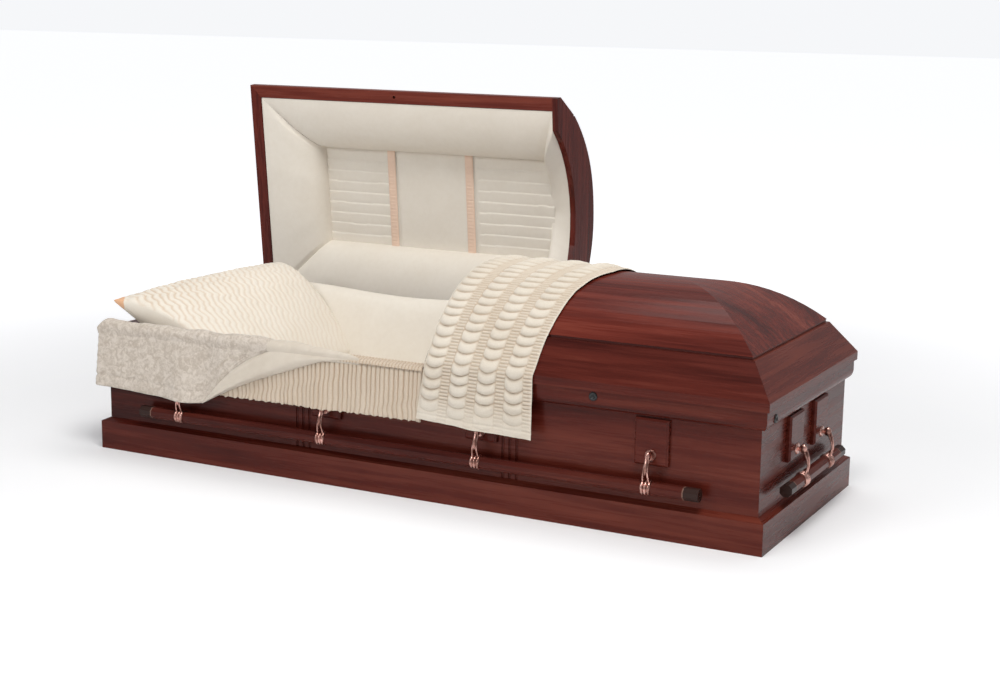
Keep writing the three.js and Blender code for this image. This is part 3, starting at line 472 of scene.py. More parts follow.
def spread(low, high, count):
    """Even places from low to high."""
    return np.linspace(low, high, count)


def limited(value):
    """Values held between 0 and 1."""
    return np.clip(value, 0, 1)


def bell(distance, width):
    """A bell curve: one at no distance, a third at the width and next to nothing at twice the width."""
    return np.exp(-((distance / width) ** 2))


def smooth_line(points, count):
    """A curve through points, each stretch a cubic whose ends aim along their neighbours' chord,
    sampled evenly by the points' own spacing."""
    line = np.asarray(points, float)
    extended = np.vstack([2 * line[0] - line[1], line, 2 * line[-1] - line[-2]])
    steps = np.linalg.norm(np.diff(line, axis=0), axis=1)
    along = np.concatenate([[0], np.cumsum(steps)])
    at = spread(0, along[-1], count)
    which = np.clip(np.searchsorted(along, at, side="right") - 1, 0, len(line) - 2)
    t = ((at - along[which]) / steps[which])[:, None]
    p0, p1, p2, p3 = (extended[which + k] for k in range(4))
    return 0.5 * (2 * p1 + (p2 - p0) * t + (2 * p0 - 5 * p1 + 4 * p2 - p3) * t**2
                  + (3 * p1 - p0 - 3 * p2 + p3) * t**3)


def ripple(x, seed, scale=1.0):
    """An uneven wave between -1 and 1: half the sum of three sines whose lengths share no ratio, the
    second 0.6 and the third 0.4 as high as the first."""
    first, second, third = (x * rate / scale for rate in (6.2832, 9.71, 15.13))
    return (np.sin(first + seed) + 0.6 * np.sin(second + 2.3 * seed) + 0.4 * np.sin(third + 4.1 * seed)) / 2.0


def opened(points):
    """Points of the shut head lid, turned back about its hinge rod to the open place."""
    y, z = points[..., 1] - HINGE_Y, points[..., 2] - HINGE_Z
    out = points.copy()
    out[..., 1] = HINGE_Y + y * math.cos(OPEN_TURN) + z * math.sin(OPEN_TURN)
    out[..., 2] = HINGE_Z - y * math.sin(OPEN_TURN) + z * math.cos(OPEN_TURN)
    return out


def stacked(x, y, z):
    """Three arrays as one array of points."""
    return np.stack(np.broadcast_arrays(x, y, z), axis=-1)


def tube(path, radius, side, count=8):
    """A round tube along a path: circles in the plane of a side direction and the path's own normal."""
    run = np.gradient(path, axis=0)
    run /= np.linalg.norm(run, axis=1)[:, None]
    side = np.asarray(side, float)
    across = side - run * (run @ side)[:, None]
    across /= np.linalg.norm(across, axis=1)[:, None]
    up = np.cross(run, across)
    turn = spread(0, 2 * np.pi, count + 1)[:-1][None, :, None]
    reach = np.broadcast_to(radius, (len(path),))[:, None, None]
    circle = across[:, None, :] * np.cos(turn) + up[:, None, :] * np.sin(turn)
    return path[:, None, :] + reach * circle


# lining of the head lid

ROLL_OUTER = np.array([[-1.0228, -0.3403], [0.0587, -0.3403], [0.0587, 0.3403], [-1.0228, 0.3403]])
ROLL_INNER = np.array([[-0.846, -0.1665], [-0.006, -0.1665], [-0.006, 0.1575], [-0.846, 0.1575]])
PANEL_DEPTH = 0.110


def arch_height(y):
    """Height of the header's arch above the parting: a circle through a half chord and its rise."""
    chord, rise = LID_HALF_WIDTH - 0.100, 0.112
    radius = (chord**2 + rise**2) / (2 * rise)
    return np.sqrt(np.maximum(radius**2 - y**2, 0)) - (radius - rise)


def lid_lining(name, x, y, depth, finish):
    """Part of the head lid's lining: set out over the parting as if shut, then turned open."""
    points = opened(stacked(x, y, PARTING + depth))
    return surface(name, points, finish, "head_lid", "satin", turned_over=True)


def lid_rolls():
    """Four padded rolls with mitred corners. Across a roll the plan runs from the rail's edge to the
    panel as a quarter sine, and the depth grows as a power, which gives the full outer round."""
    t, s = spread(0, 1, 90)[None, :], spread(0, 1, 26)[:, None]
    reach = np.sin(s * np.pi / 2) ** 1.1
    for k, side in enumerate(("front", "split", "back", "head")):
        outer = ROLL_OUTER[k] + (ROLL_OUTER[(k + 1) % 4] - ROLL_OUTER[k]) * t[..., None]
        inner = ROLL_INNER[k] + (ROLL_INNER[(k + 1) % 4] - ROLL_INNER[k]) * t[..., None]
        plan = outer + (inner - outer) * reach[..., None]
        length = np.linalg.norm(ROLL_OUTER[(k + 1) % 4] - ROLL_OUTER[k])
        edge = np.minimum(t, 1 - t) * length
        start = np.maximum(arch_height(outer[..., 1]) + 0.001, 0.002) if side == "split" else 0.002
        depth = start + (PANEL_DEPTH - start) * s**1.9
        crease = bell(edge, 0.016) * np.sin(np.pi * s)
        puckers = 0.0012 * ripple(t * length, k + 1.0, 0.21) * np.sin(np.pi * s)
        depth = depth + 0.008 * crease + puckers
        roll = lid_lining(f"lid_roll_{side}", plan[..., 0], plan[..., 1], depth, SMOOTH)
        if k == 0:
            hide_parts("head_lid_lining")


def lid_panel():
    """The flat panel behind the rolls: a plain middle column between two columns of sewn tucks, each a
    squared ramp that repeats, and a gathered peach ribbon beside each seam, domed as a fourth power."""
    (start, end), (front, back), seams = (-0.858, 0.006), (-0.178, 0.170), (-0.572, -0.279)
    x, y = spread(start, end, 260)[None, :], spread(front, back, 150)[:, None]
    outer_column = ((x < seams[0] - 0.012) | (x > seams[1] + 0.012)).astype(float)
    wander = 0.002 * ripple(x, 2.0, 0.5)
    tuck_pitch, middle, half_span = 0.036, sum(seams) / 2, 0.147
    tuck = np.mod((y + wander + 0.16) / tuck_pitch, 1.0)
    fold = 0.0026 * outer_column * (tuck**2 - 0.4)
    puff = 0.003 * np.cos(np.clip((x - middle) / half_span, -1, 1) * np.pi / 2)
    seam = 0.0035 * sum(bell(x - place, 0.004) for place in seams)
    depth = PANEL_DEPTH - 0.001 + fold - puff + seam
    lid_lining("lid_panel", x, y, depth, SMOOTH)
    for number, place in enumerate(seams):
        x, y = spread(place - 0.034, place - 0.004, 16)[None, :], spread(front, back, 220)[:, None]
        across = (x - (place - 0.019)) / 0.015
        gather = 0.0008 * ripple(y, 3.0 + number, 0.012) * (1 - across**2)
        depth = PANEL_DEPTH - 0.0032 - 0.0022 * (1 - across**4) + gather
        lid_lining(f"lid_ribbon_{number + 1}", x, y, depth, PEACH)


def foot_lid_lining():
    """Plain cloth that follows the foot lid's rails and the underside of its crown, as a power of the
    inset. Each line is a U in plan: along one side, across the hipped end, and back along the other."""
    start, rise, clearance = 0.090, 0.116, 0.0045
    run = LID_HALF_WIDTH - start
    insets = spread(0.0965, LID_HALF_WIDTH - 0.001, 26)
    under = CROWN_FOOT + rise * (1 - (1 - (insets - start) / run) ** CROWN_POWER) - clearance
    inset = np.concatenate([[0.0415, 0.0425, 0.066, 0.088, 0.0945], insets])[:, None]
    height = np.concatenate([[0.002, 0.036, 0.070, 0.098, 0.112], under])[:, None]
    turn = spread(0, 3, 121)[None, :]
    half = LID_HALF_WIDTH - inset
    hip = LID_HALF_LENGTH - inset
    square = FOOT_SPLIT + HEADER + 0.001
    x = square + (hip - square) * limited(np.minimum(turn, 3 - turn))
    y = half * (2 * limited(turn - 1) - 1)
    gather = 0.0008 * ripple(turn, 1.7, 0.05) * np.sin(np.pi * limited(inset / 0.3))
    points = stacked(x, y, PARTING + height + gather)
    surface("foot_lid_cloth", points, SMOOTH, "foot_lid", "satin", thickness=0.0015)


lid_rolls()
lid_panel()
foot_lid_lining()


# cloth in the box

def padded_bank():
    """The bank behind the pillow: one rounded section along the back, swelling and sinking slowly."""
    x = spread(-1.018, APRON_END - 0.001, 190)
    line = smooth_line([
        (0.223, 0.188), (0.229, 0.235), (0.241, 0.290), (0.257, 0.350), (0.275, 0.400), (0.297, 0.428),
        (0.322, 0.434), (0.342, 0.420), (0.347, 0.398), (0.344, 0.382), (0.338, 0.3755),
    ], 60)
    y, z = line[:, 0][:, None], line[:, 1][:, None]
    raise_top = 0.008 * np.sin((x[None, :] * 1000 + 1000) / 130) * limited((z - 0.36) / 0.07)
    soft = limited((z - 0.19) / 0.05) * limited((0.44 - z) / 0.02)
    wave = 0.0016 * ripple(x[None, :], 0.6, 0.19) * soft
    points = stacked(x[None, :], y - wave, z + raise_top)
    bank = surface("back_bank", points, SMOOTH, "casket", "crepe", turned_over=True)
    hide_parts("body_lining")
    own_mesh(bank)


def wall_cloth():
    """Gathered cloth round the inside of the walls: a rectangle in plan with fine upright folds."""
    x, y = END_WALL_INNER - 0.0035, WALL_INNER - 0.0035
    loop = np.array([(-x, -y), (x, -y), (x, y), (-x, y), (-x, -y)])
    steps = np.linalg.norm(np.diff(loop, axis=0), axis=1)
    along = np.concatenate([[0], np.cumsum(steps)])
    at = spread(0, along[-1], 1100)[:-1]
    plan = np.stack([np.interp(at, along, loop[:, k]) for k in (0, 1)], axis=-1)
    side = np.clip(np.searchsorted(along, at, side="right") - 1, 0, 3)
    inward = np.array([(0, 1), (-1, 0), (0, -1), (1, 0)])[side]
    z = spread(0.186, 0.3712, 10)[:, None]
    fold = 0.0016 * ripple(at, 1.1, 0.024)[None, :] * (0.4 + 0.6 * limited((0.372 - z) / 0.15))
    points = stacked(plan[None, :, 0] + inward[None, :, 0] * (fold + 0.002),
                     plan[None, :, 1] + inward[None, :, 1] * (fold + 0.002), z)
    cloth = surface("wall_cloth", points, CREPE, "casket", "crepe", closed=True, turned_over=True)


def near_arms(x):
    """One over each of the front arms, falling to nothing between them as a bell curve."""
    return bell(x[..., None] - ARM_PLACES, 0.048).max(-1)


def hang_out(x, z, layer):
    """How far out a hanging cloth stands at a height: it leans outward evenly with the drop, to a hem
    that swells over the arms, and stands off by its layer."""
    hem = 0.388 + 0.011 * near_arms(x)
    return RIM_FACE + (hem - RIM_FACE) * (BODY_TOP - z) / RIM_DROP + layer


def puffs(x, pitch, round_off=0.65):
    """A row of rounded ribs between narrow grooves: the size of a sine, raised to a power below one."""
    return np.abs(np.sin(np.pi * x / pitch)) ** round_off


def apron():
    """Gathered cloth over the front rim: upright puffed folds that loosen towards a scalloped hem, a
    smocked band on the rim with two rows of stitches, and a thin rolled peach edge inside."""
    x = spread(APRON_START, APRON_END - 0.001, 800)[None, :]
    length = APRON_END - APRON_START
    hem = 0.221 + 0.007 * (x - APRON_START) / length + 0.0026 * ripple(x, 2.2, 0.028)
    share = spread(0, 1, 44)[:, None]
    top = BODY_TOP - 0.0045
    z_drop = top - (top - hem) * share
    drift = x + 0.0030 * ripple(x, 3.3, 0.11) + 0.0035 * share * ripple(share + 2 * x, 0.4, 0.6)
    rib_pitch, cell_pitch, bend_rows = 0.0150, 0.0105, 7
    rib = puffs(drift, rib_pitch)
    loose = 0.5 + 0.5 * ripple(drift, 0.8, 0.031)
    relief = (0.0064 - 0.0026 * share) * rib * (0.75 + 0.25 * loose) + 0.0022 * share * loose
    y_drop = -(hang_out(x + 0 * share, z_drop, 0.0016) + relief * limited(0.25 + share * 14))
    turn = spread(0, np.pi / 2, bend_rows)[:, None]
    y_turn = -(RIM_FACE + 0.0030 - 0.005 + 0.005 * np.sin(turn) + 0.0016 * rib[:1] * turn / 1.571) + 0 * x
    z_turn = top + 0.0030 * np.cos(turn) + 0 * x
    points = np.concatenate([stacked(x, y_turn, z_turn), stacked(x, y_drop, z_drop)])
    # Painted shade in the grooves between the ribs, less towards the hem; the rows over the rim's bend take
    # part of the top row's.
    painted_groove_shade = limited(1.15 - 1.5 * rib) * (0.95 - 0.35 * share)
    painted_groove_shade = np.concatenate([np.repeat(painted_groove_shade[:1], bend_rows, 0) * 0.6, painted_groove_shade])
    cloth = surface("apron", points, APRON, "casket", "crepe", thickness=0.0012, painted_fold_shade=painted_groove_shade)
    across = spread(0, 1, 26)[:, None]
    stitch = bell(across - 0.30, 0.07) + bell(across - 0.72, 0.07)
    cell = puffs(x + 0.0012 * ripple(x, 1.9, 0.07) + 0.0022 * np.sin(across * 9), cell_pitch, 0.7)
    z_band = BODY_TOP + 0.0028 + 0.0042 * cell * (1 - 0.62 * stitch)
    y_band = -RIM_INNER - (RIM_EDGE - RIM_INNER) * across + 0 * x
    z_band = z_band - 0.004 * limited(1 - across / 0.06)
    down = spread(0, 1, 5)[:, None]
    tucked_in = stacked(x, 0.0007 * (1 - down) - RIM_INNER, BODY_TOP - 0.018 + 0.0170 * down + 0 * x)
    shadow = np.clip(limited(1.05 - 1.3 * cell) * 0.8 + 0.45 * stitch, 0, 0.9)
    bent = spread(0.12, 1, 8)[:, None] * np.pi / 2
    lap = stacked(x, -(RIM_EDGE + 0.0092 * np.sin(bent)), z_band[-1:] - 0.0105 * (1 - np.cos(bent)))
    points = np.concatenate([tucked_in, stacked(x, y_band, z_band), lap])
    shades = [0 * down + 0 * x, shadow, np.repeat(shadow[-1:], len(bent), 0)]
    band = surface("apron_band", points, APRON, "casket", "crepe", painted_fold_shade=np.concatenate(shades))
    edge_x = spread(APRON_START, APRON_END - 0.001, 240)
    path = stacked(edge_x, -0.3292 + 0.0006 * ripple(edge_x, 1.0, 0.06), BODY_TOP + 0.0022)
    edge = made_of("apron_edge", *gridded([(tube(path, 0.0024, (0, 1, 0)), True)]), PEACH, "casket", "satin")
    for piece in (band, edge):
        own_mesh(piece)
    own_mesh(cloth)


def bed_pad():
    """The bed's cover: a flat pad with rounded edges and shallow square quilting."""
    u, v = spread(-1, 1, 160)[None, :], spread(-1, 1, 64)[:, None]
    x, y = 1.017 * u, 0.3345 * v
    edge = limited(1 - np.abs(u) ** 40) * limited(1 - np.abs(v) ** 16)
    quilt = np.abs(np.sin(np.pi * x / 0.12) * np.sin(np.pi * y / 0.12)) ** 0.5
    points = stacked(x, y, 0.176 + 0.006 * edge + 0.006 * quilt * edge)
    pad = surface("bed_pad", points, CREPE, "casket", "crepe", thickness=0.002, solid_side=-1)
    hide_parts("mattress")


PILLOW_CORNERS = np.array([(-1.041, -0.330, 0.452), (-0.865, 0.296, 0.502),
                           (-0.550, 0.262, 0.250), (-0.565, -0.300, 0.240)])
RUCHE = 0.0215


def pillow():
    """A soft wedge: its seam runs through four corners, and top and bottom swell from the seam as a
    power of two crossed sines, and share the seam's points. Ruches run slantwise from the corner at the
    front of the head end and fade towards the foot as a bell curve."""
    count = 180
    u, v = spread(0, 1, count)[None, :], spread(0, 1, count)[:, None]
    a, b, c, d = PILLOW_CORNERS
    middle = PILLOW_CORNERS.mean(0)
    across, along = v[..., None], u[..., None]
    flat = (a * (1 - across) + b * across) * (1 - along) + (d * (1 - across) + c * across) * along
    late = u**1.75
    height = (a[2] * (1 - v) + b[2] * v) * (1 - late) + (d[2] * (1 - v) + c[2] * v) * late
    sines = limited(np.sin(np.pi * u) * np.sin(np.pi * v))
    puff = sines**0.45
    pinch = 1 - 0.03 * (np.sin(np.pi * u) + np.sin(np.pi * v)) * (1 - puff)
    plan = middle[:2] + (flat[..., :2] - middle[:2]) * pinch[..., None]
    slant = 0.60 * v + 0.20 * u + 0.006 * ripple(u, 0.3, 0.23) + 0.005 * ripple(v - u, 1.1, 0.17)
    rib = puffs(slant, RUCHE, 0.8)
    near = 0.22 + 0.78 * np.exp(-((u / 0.62) ** 2 + (v / 0.80) ** 2))
    broken = 0.66 + 0.34 * ripple(u + 0.31 * np.floor(slant / RUCHE), 2.0, 0.15)
    sewn = limited(puff * 3)
    ruche = 0.0082 * near * broken * rib * sewn
    top = stacked(plan[..., 0], plan[..., 1], height + 0.040 * puff + ruche)
    low = np.maximum(height - 0.230 * puff, 0.188)
    bottom = stacked(plan[..., 0], plan[..., 1], np.where(sines > 0, low, height))
    index = np.arange(count * count)
    rim = ((u == 0) | (u == 1) | (v == 0) | (v == 1)).ravel()
    under = np.where(rim, index, index + count * count)
    quads = gridded([(top, False)])[1]
    points = np.concatenate([top, bottom]).reshape(-1, 3)
    faces = np.concatenate([quads, under[quads[:, [0, 3, 2, 1]]]])
    used, packed = np.unique(faces, return_inverse=True)
    made = made_of("pillow_case", points[used], packed.reshape(faces.shape), CREPE, "casket", "satin")
    made.data.materials.append(TIP)
    # Painted shade in the grooves of the ruches on the top face; the bottom face gets none.
    painted_groove_shade = (limited(1.1 - 1.4 * rib) * near * sewn * 0.85 + 0 * u).ravel()
    paint_fold_shade(made, np.concatenate([painted_groove_shade, 0 * painted_groove_shade])[used])
    tip = ((u + v < 0.07)[:-1, :-1]).astype(np.int32).ravel()
    made.data.polygons.foreach_set("material_index", np.concatenate([tip, tip]))
    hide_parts("pillow")
    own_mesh(made)


padded_bank()
wall_cloth()
apron()
bed_pad()
pillow()


# overlay over the front rim

OVERLAY_LEFT, OVERLAY_FOLD, OVERLAY_END, OVERLAY_FRONT = -1.0545, -0.431, -0.130, 0.3690
HEM_LINE = np.array([(-1.0545, 0.1985), (-1.0, 0.198), (-0.878, 0.1934), (-0.711, 0.187), (-0.664, 0.1905)])
FOLD_LINE = np.array([(-0.664, 0.1905), (-0.603, 0.256), (-0.526, 0.321), (-0.431, 0.374)])
LOWER_EDGE = np.array([(-0.664, 0.1905), (-0.567, 0.240), (-0.487, 0.275), (-0.367, 0.319),
                       (-0.251, 0.358), (-0.140, 0.374)])


def overlay_layer(x):
    """How far the overlay stands off the wood under it, or off the apron where there is one."""
    return 0.0022 + 0.0098 * limited((x - (APRON_START - 0.05)) / 0.05)


def settled(x):
    """How far the thin end of the satin sinks back towards the apron."""
    return 0.0065 * limited((x + 0.27) / 0.12)


def overlay_drop():
    """Velvet that hangs from the rim. In plan it runs along the head end, fans round the corner and
    goes on along the front; each point stands out along the way it faces. Its lower edge sinks to the
    tip, where the fold begins, and then climbs the fold's line to the rim."""
    corner = np.array([OVERLAY_LEFT, -OVERLAY_FRONT])
    around = spread(0, np.pi / 2, 12)
    side_y = spread(-0.330, corner[1], 12)[:-1]
    main_x = spread(corner[0], OVERLAY_FOLD, 330)[1:]
    base = np.concatenate([
        stacked(corner[0], side_y, 0), np.tile((*corner, 0), (len(around), 1)),
        stacked(main_x, corner[1], 0)])[:, :2]
    facing = np.concatenate([
        np.tile((-1.0, 0.0), (len(side_y), 1)), np.stack([-np.cos(around), -np.sin(around)], -1),
        np.tile((0.0, -1.0), (len(main_x), 1))])
    x = base[:, 0][None, :]
    share = spread(0, 1, 40)[:, None]
    hem = np.interp(x, HEM_LINE[:, 0], HEM_LINE[:, 1])
    fold = smooth_line(FOLD_LINE, 60)
    tip = FOLD_LINE[0, 0]
    low = np.where(x > tip, np.interp(x, fold[:, 0], fold[:, 1]), hem)
    top = BODY_TOP - 0.0010
    z = top + (np.minimum(low, top - 0.002) - top) * share
    along = np.concatenate([[0], np.cumsum(np.linalg.norm(np.diff(base + facing * 0.01, axis=0), axis=1))])
    sway = 0.0026 * ripple(along, 0.9, 0.21)[None, :] * share
    wrinkle = 0.0011 * ripple(along[None, :] + 0.4 * share, 2.6, 0.06)
    hem_depth, hem_width = 0.034, 0.0038
    past_hem = z - low - hem_depth - 0.0022 * ripple(along, 4.0, 0.05)
    dip = bell(past_hem, hem_width) * (x < tip)
    out = hang_out(x, z, overlay_layer(x)) - OVERLAY_FRONT + sway + wrinkle - 0.0034 * dip
    out = out + 0.0065 * near_arms(x) * limited(share * 1.4)
    reach = out[..., None] * facing[None, :, :]
    points = np.concatenate([base[None, :, :] + reach, z[..., None]], axis=-1)
    cloth = surface("overlay_velvet", points, VELVET, "casket", "velvet", turned_over=True, thickness=0.002,
                    solid_side=-1)
    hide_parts("overlay")
    return cloth


def overlay_top():
    """The puffed roll of the overlay on the rim: velvet first, then its satin back, which narrows to a
    thin end along the rim. The outer lip laps down over the hanging part, and the inner edge tucks in."""
    pieces = []
    section = smooth_line([(-0.0014, -0.016), (0.0012, -0.006), (0.0036, 0.005), (0.0015, 0.016),
                           (-0.0085, 0.0245), (-0.022, 0.0265), (-0.036, 0.021), (-0.0455, 0.010),
                           (-0.048, -0.004), (-0.0455, -0.026)], 36)
    for name, start, end, finish in (("overlay_on_rim", OVERLAY_LEFT - 0.008, OVERLAY_FOLD + 0.002, VELVET),
                                     ("overlay_back_on_rim", OVERLAY_FOLD - 0.004, OVERLAY_END, SATIN)):
        x = spread(start, end, 150)[None, :]
        from_start = limited((x - OVERLAY_LEFT + 0.009) / 0.030)
        begins = np.sqrt(np.clip(1 - (1 - from_start) ** 2, 0.01, 1))
        past = limited((x - OVERLAY_FOLD) / (OVERLAY_END - OVERLAY_FOLD))
        ends = np.sqrt(np.clip(1 - past**2, 0.004, 1))
        width = (1 - 0.55 * past) * ends
        rise = begins * (1 + 0.12 * ripple(x, 1.4, 0.17)) * (1 - 0.25 * past) * ends
        edge = RIM_EDGE + overlay_layer(x) - settled(x)
        out, up = section[:, :1], section[:, 1:]
        level = BODY_TOP + 0.0052 * limited((x - APRON_START) / 0.03)
        up = np.where(up > 0, up * rise, up * np.where(out < -0.02, np.clip(1 - 3 * past, 0.05, 1), 1))
        wrinkle = 0.0009 * ripple(x + 0.5 * out, 2.1, 0.045) * (up > 0)
        points = stacked(x, -(edge + out * width + wrinkle), level + up + wrinkle)
        made = surface(name, points, finish, "casket", "velvet", turned_over=True, thickness=0.0015)
        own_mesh(made)
        pieces.append(made)
    return pieces


def overlay_fold():
    """The corner turned back: a satin triangle from the tip to the rim, full in the middle, with a rolled
    upper edge along the fold and a soft rolled lower edge."""
    count = 110
    a, b = spread(0, 1, count)[None, :], spread(0, 1, 60)[:, None]
    upper, lower = smooth_line(FOLD_LINE, count), smooth_line(LOWER_EDGE, count)
    x = upper[:, 0] + (lower[:, 0] - upper[:, 0]) * b
    z = upper[:, 1] + (lower[:, 1] - upper[:, 1]) * b
    bulge = 0.011 * limited(np.sin(np.pi * b)) ** 0.7 * limited(np.sin(np.pi * a)) ** 0.6
    crease = 0.0028 * np.sin(2 * np.pi * (b * 1.7 + 0.25 * a)) * a * (1 - a) * 4
    out = hang_out(x, np.minimum(z, BODY_TOP), 0.0) + overlay_layer(x) + 0.0012 + bulge + crease
    out = out - 0.003 * bell(b, 0.05) - 0.004 * bell(1 - b, 0.05) - settled(x)
    return surface("overlay_satin_fold", stacked(x, -out, z), SATIN, "casket", "velvet", thickness=0.0015)


velvet = overlay_drop()
rim_pieces = overlay_top()
satin_fold = overlay_fold()
for hanging in (velvet, satin_fold):
    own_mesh(hanging)


# throw over the foot lid

def lid_line():
    """The throw's path over the foot lid, as points of (y, z): hem, box wall, lid rail, the crown as a
    power of its inset, the ridge, and the same crown down behind it."""
    end_behind = 0.236
    inset = spread(CROWN_INSET, LID_HALF_WIDTH, 30)
    share = (inset - CROWN_INSET) / (LID_HALF_WIDTH - CROWN_INSET)
    height = CROWN_FOOT + CROWN_RISE * (1 - (1 - share) ** CROWN_POWER)
    crown = np.stack([inset - LID_HALF_WIDTH, height + PARTING + 0.0055], -1)
    back = crown[::-1][1:] * (-1, 1)
    back = back[back[:, 0] < end_behind]
    drop = np.array([(-0.4005, 0.228), (-0.3920, 0.300), (-0.3870, 0.366), (-0.3865, 0.396)])
    return np.concatenate([drop, crown, back])


def foot_throw():
    """A shirred cover: four puffed columns between narrow gathered ones. Along its length the puffs
    swell and tuck in turn, as a power of a sine, and the narrow columns are ribbed three times as
    finely. The end below the lid is a piece of its own."""
    line = lid_line()
    steps = np.linalg.norm(np.diff(line, axis=0), axis=1)
    along = np.concatenate([[0], np.cumsum(steps)])
    length = along[-1]
    s = spread(0, length, 520)
    base = np.stack([np.interp(s, along, line[:, k]) for k in (0, 1)], -1)
    window = 9
    kernel = np.hanning(2 * window + 1)
    kernel /= kernel.sum()
    padded_base = np.concatenate([np.repeat(base[:1], window, 0), base, np.repeat(base[-1:], window, 0)])
    base = np.stack([np.convolve(padded_base[:, k], kernel, "valid") for k in (0, 1)], -1)
    slope = np.gradient(base, axis=0)
    slope /= np.linalg.norm(slope, axis=1)[:, None]
    normal = np.stack([-slope[:, 1], slope[:, 0]], -1)
    u = spread(0, 1, 190)[None, :]
    s = s[:, None]
    fall = limited(1 - s / 0.17)
    left = 0.084 - 0.020 * fall
    right = np.interp(s, [0, 0.168, 0.298, 0.47, 0.63], [0.416, 0.412, 0.420, 0.436, 0.474])
    x = left + (right - left) * u + 0.0014 * ripple(s, 0.5, 0.15)
    border, pitch, narrow, tuck_pitch, rib_pitch = 0.012, 0.247, 0.30, 0.031, 0.0098
    column = np.mod(u - border, pitch) / pitch
    number = np.floor((u - border) / pitch)
    gathered = (column > 1 - narrow).astype(float)
    in_puff = limited(column / (1 - narrow))
    dome = np.sin(np.pi * in_puff) ** 0.5 * (1 - gathered)
    sag = 0.34 * (2 * in_puff - 1) ** 2
    phase = s / tuck_pitch + 0.37 * number + 0.15 * ripple(s, 1.0 + number, 0.19) - sag
    swell = limited(np.sin(np.pi * np.mod(phase, 1.0) ** 0.72)) ** 0.60
    ribs = puffs(s + 0.003 * number, rib_pitch, 0.8)
    plain = limited((s - 0.016) / 0.060) ** 1.5
    margin = limited(np.minimum(u, 1 - u) / 0.022)
    level = (0.22 + 0.78 * plain) * margin
    relief = (dome * (0.0010 + 0.0112 * swell) + gathered * 0.0040 * ribs) * level
    hem = 0.0014 * bell(s - 0.020, 0.003)
    reach = relief - hem + 0.0005
    out = 0.011 * near_arms(x) * limited((BODY_TOP - base[:, 1][:, None]) / RIM_DROP)
    y = base[:, 0][:, None] + normal[:, 0][:, None] * reach - out
    hem_line = -0.016 * (u - 0.5) * fall + 0.0008 * ripple(u, 0.9, 0.3) * fall
    z = base[:, 1][:, None] + normal[:, 1][:, None] * reach + hem_line
    # Painted shade where the puffs tuck in, and over the gathered columns, most in their grooves, less at the
    # side edges and near the hem.
    tucks = limited(1.1 - 1.5 * swell * limited(dome * 1.6)) * (1 - gathered)
    painted_groove_shade = (tucks * 0.8 + gathered * (0.25 + 0.6 * limited(1.1 - 1.4 * ribs))) * level
    split_at, split_height = 0.139, 0.366
    points, split = stacked(x, y, z), int(np.searchsorted(s[:, 0], split_at))
    cloth = surface("shirred_throw", points[split:], COVER, "foot_lid", "throw_cloth",
                    painted_fold_shade=painted_groove_shade[split:])
    hanging = surface("throw_hanging_end", points[:split + 1], COVER, "foot_lid", "throw_cloth",
                      painted_fold_shade=painted_groove_shade[:split + 1])
    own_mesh(hanging)
    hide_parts("throw")


foot_throw()


# small fittings

def turned(name, profile, place, axis, count=32):
    """A turned black fitting: its profile of (radius, distance out) spun about an axis that points
    outward, as the sine and cosine of even angles times each radius."""
    radius, out = np.asarray(profile, float).T
    angle = spread(0, 2 * np.pi, count + 1)[:-1]
    ring_a, ring_b = np.outer(radius, np.cos(angle)), np.outer(radius, np.sin(angle))
    rise = np.repeat(out[:, None], count, 1)
    if axis == "-Y":
        points = stacked(place[0] + ring_a, place[1] - rise, place[2] + ring_b)
    else:
        points = stacked(place[0] + rise, place[1] + ring_a, place[2] + ring_b)
    surface(name, points, BLACK, "casket", "iron", closed=True)


def lock_plugs():
    """Black lock plugs in the rim moulding, each with a socket for the key."""
    profile = [(0.0001, 0.0006), (0.0044, 0.0006), (0.0049, 0.0028), (0.0080, 0.0036), (0.0112, 0.0026),
               (0.0120, 0.0004), (0.0120, -0.003)]
    turned("lock_plug_front", profile, (0.583, -0.3745, 0.357), "-Y")
    turned("lock_plug_foot", profile, (1.0570, -0.309, 0.344), "+X")


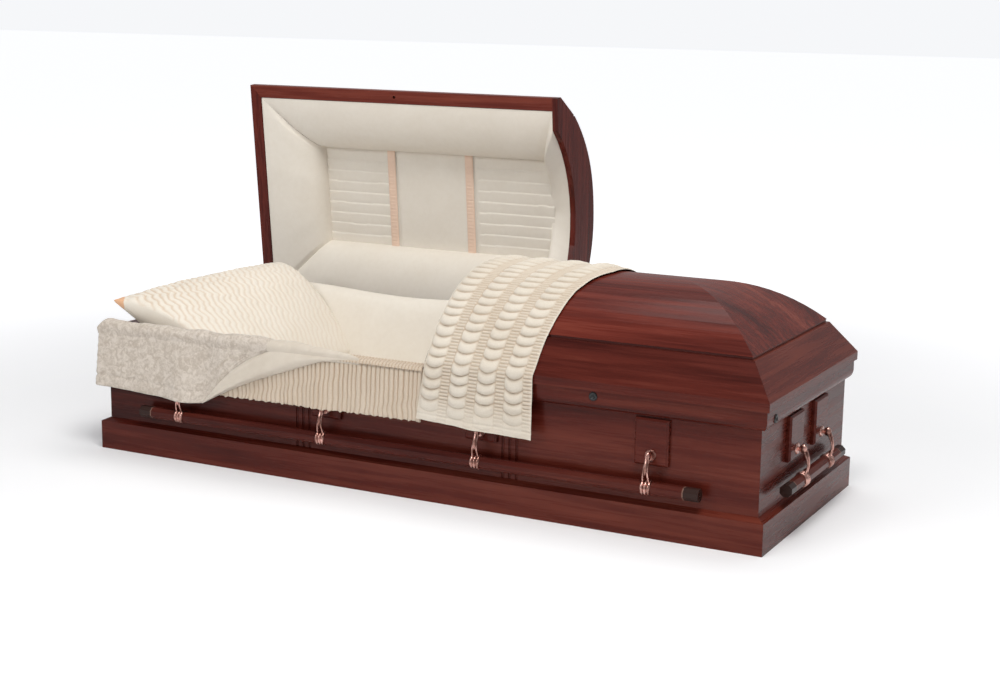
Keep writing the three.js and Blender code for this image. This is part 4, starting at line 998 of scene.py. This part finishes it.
def arm_parts():
    """One arm as grids of (along the bar, out from the pivot, height): a hooded knuckle on the pin, two
    slim ribs that part like a wishbone, a bright leaf between them, three petals that curl round the
    outside of the bar to a point, and a prong over its top."""
    bar_out, bar_up = BAR_REACH, BAR_Z - PIVOT_Z
    turn, rise = spread(0, 2 * np.pi, 17)[:-1][None, :], spread(0, np.pi, 13)[:, None]
    ring = np.clip(np.sin(rise), 0.02, 1)
    knuckle = stacked(0.0078 * np.sign(np.cos(turn)) * np.abs(np.cos(turn)) ** 0.7 * ring,
                      0.0030 + 0.0105 * np.sin(turn) * ring, 0.0015 + 0.0125 * np.cos(rise))
    parts = [(knuckle, True)]
    bow = smooth_line([(0.0040, 0.0070, -0.006), (0.0048, 0.0155, -0.024), (0.0060, 0.0190, -0.042),
                       (0.0078, 0.0160, -0.056), (0.0086, 0.0125, -0.0645)], 20)
    width = np.interp(spread(0, 1, 20), [0, 0.15, 0.8, 1], [0.0034, 0.0027, 0.0026, 0.0032])
    for side in (-1, 1):
        parts.append((tube(bow * (side, 1, 1), width, (1, 0, 0)), True))
    leaf_line = smooth_line([(0, 0.0125, -0.002), (0, 0.0185, -0.018), (0, 0.0205, -0.032),
                             (0, 0.0180, -0.044)], 14)
    full = 0.0046 * np.sin(np.pi * spread(0.18, 0.99, 14)) ** 0.6
    stem, leaf = tube(leaf_line, 0.0022, (1, 0, 0)), tube(leaf_line, full, (1, 0, 0))
    parts.append((stem + (leaf - stem) * (1, 0, 0), True))
    arc = np.radians(spread(-82, 96, 26))[:, None]
    across = spread(-1, 1, 11)[None, :]
    grown = np.clip((arc - arc.min()) / (arc.max() - arc.min()), 0.015, 1)
    narrowing = 1 - 0.25 * limited((grown - 0.7) / 0.3)
    taper = np.sin(np.pi / 2 * limited(grown / 0.55)) ** 0.8 * narrowing
    for petal in (-1, 0, 1):
        lean = petal * 0.0103 * (0.82 + 0.18 * grown)
        radius = BAR_RADIUS - 0.0006 + 0.0050 * np.sqrt(1 - across**2) * (0.35 + 0.65 * taper)
        parts.append((stacked(lean + across * 0.0050 * taper, bar_out + radius * np.cos(arc),
                              bar_up + radius * np.sin(arc)), False))
    arc = np.radians(spread(88, 168, 14))[:, None]
    thin = np.sin(np.pi / 2 * np.clip((np.radians(170) - arc) / 0.9, 0.03, 1))
    radius = BAR_RADIUS - 0.0004 + 0.0030 * np.sqrt(1 - across**2) * thin
    parts.append((stacked(across * 0.0060 * thin, bar_out + radius * np.cos(arc),
                          bar_up + radius * np.sin(arc)), False))
    return parts


def arm_castings(side, centres, pivot_out):
    """The arms of one bar, set along it, each over its pivot, all as one piece."""
    grids = []
    for centre in centres:
        for grid, closed in arm_parts():
            along, out, z = centre + grid[..., 0], pivot_out + grid[..., 1], PIVOT_Z + grid[..., 2]
            placed = {"front": (along, -out, z), "back": (-along, out, z),
                      "foot": (out, along, z), "head": (-out, -along, z)}[side]
            grids.append((stacked(*placed), closed))
    points, faces = gridded(grids)
    made = made_of(f"arm_castings_{side}", points, faces[:, ::-1], COPPER, f"{side}_bar", "copper")
    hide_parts(*[name for name in nodes if name.startswith(f"arm_{side}_")])


lock_plugs()
for side in ("front", "back"):
    arm_castings(side, ARM_PLACES, PIVOT_OUT)
for side in ("foot", "head"):
    arm_castings(side, END_ARM_PLACES, END_PIVOT_OUT)
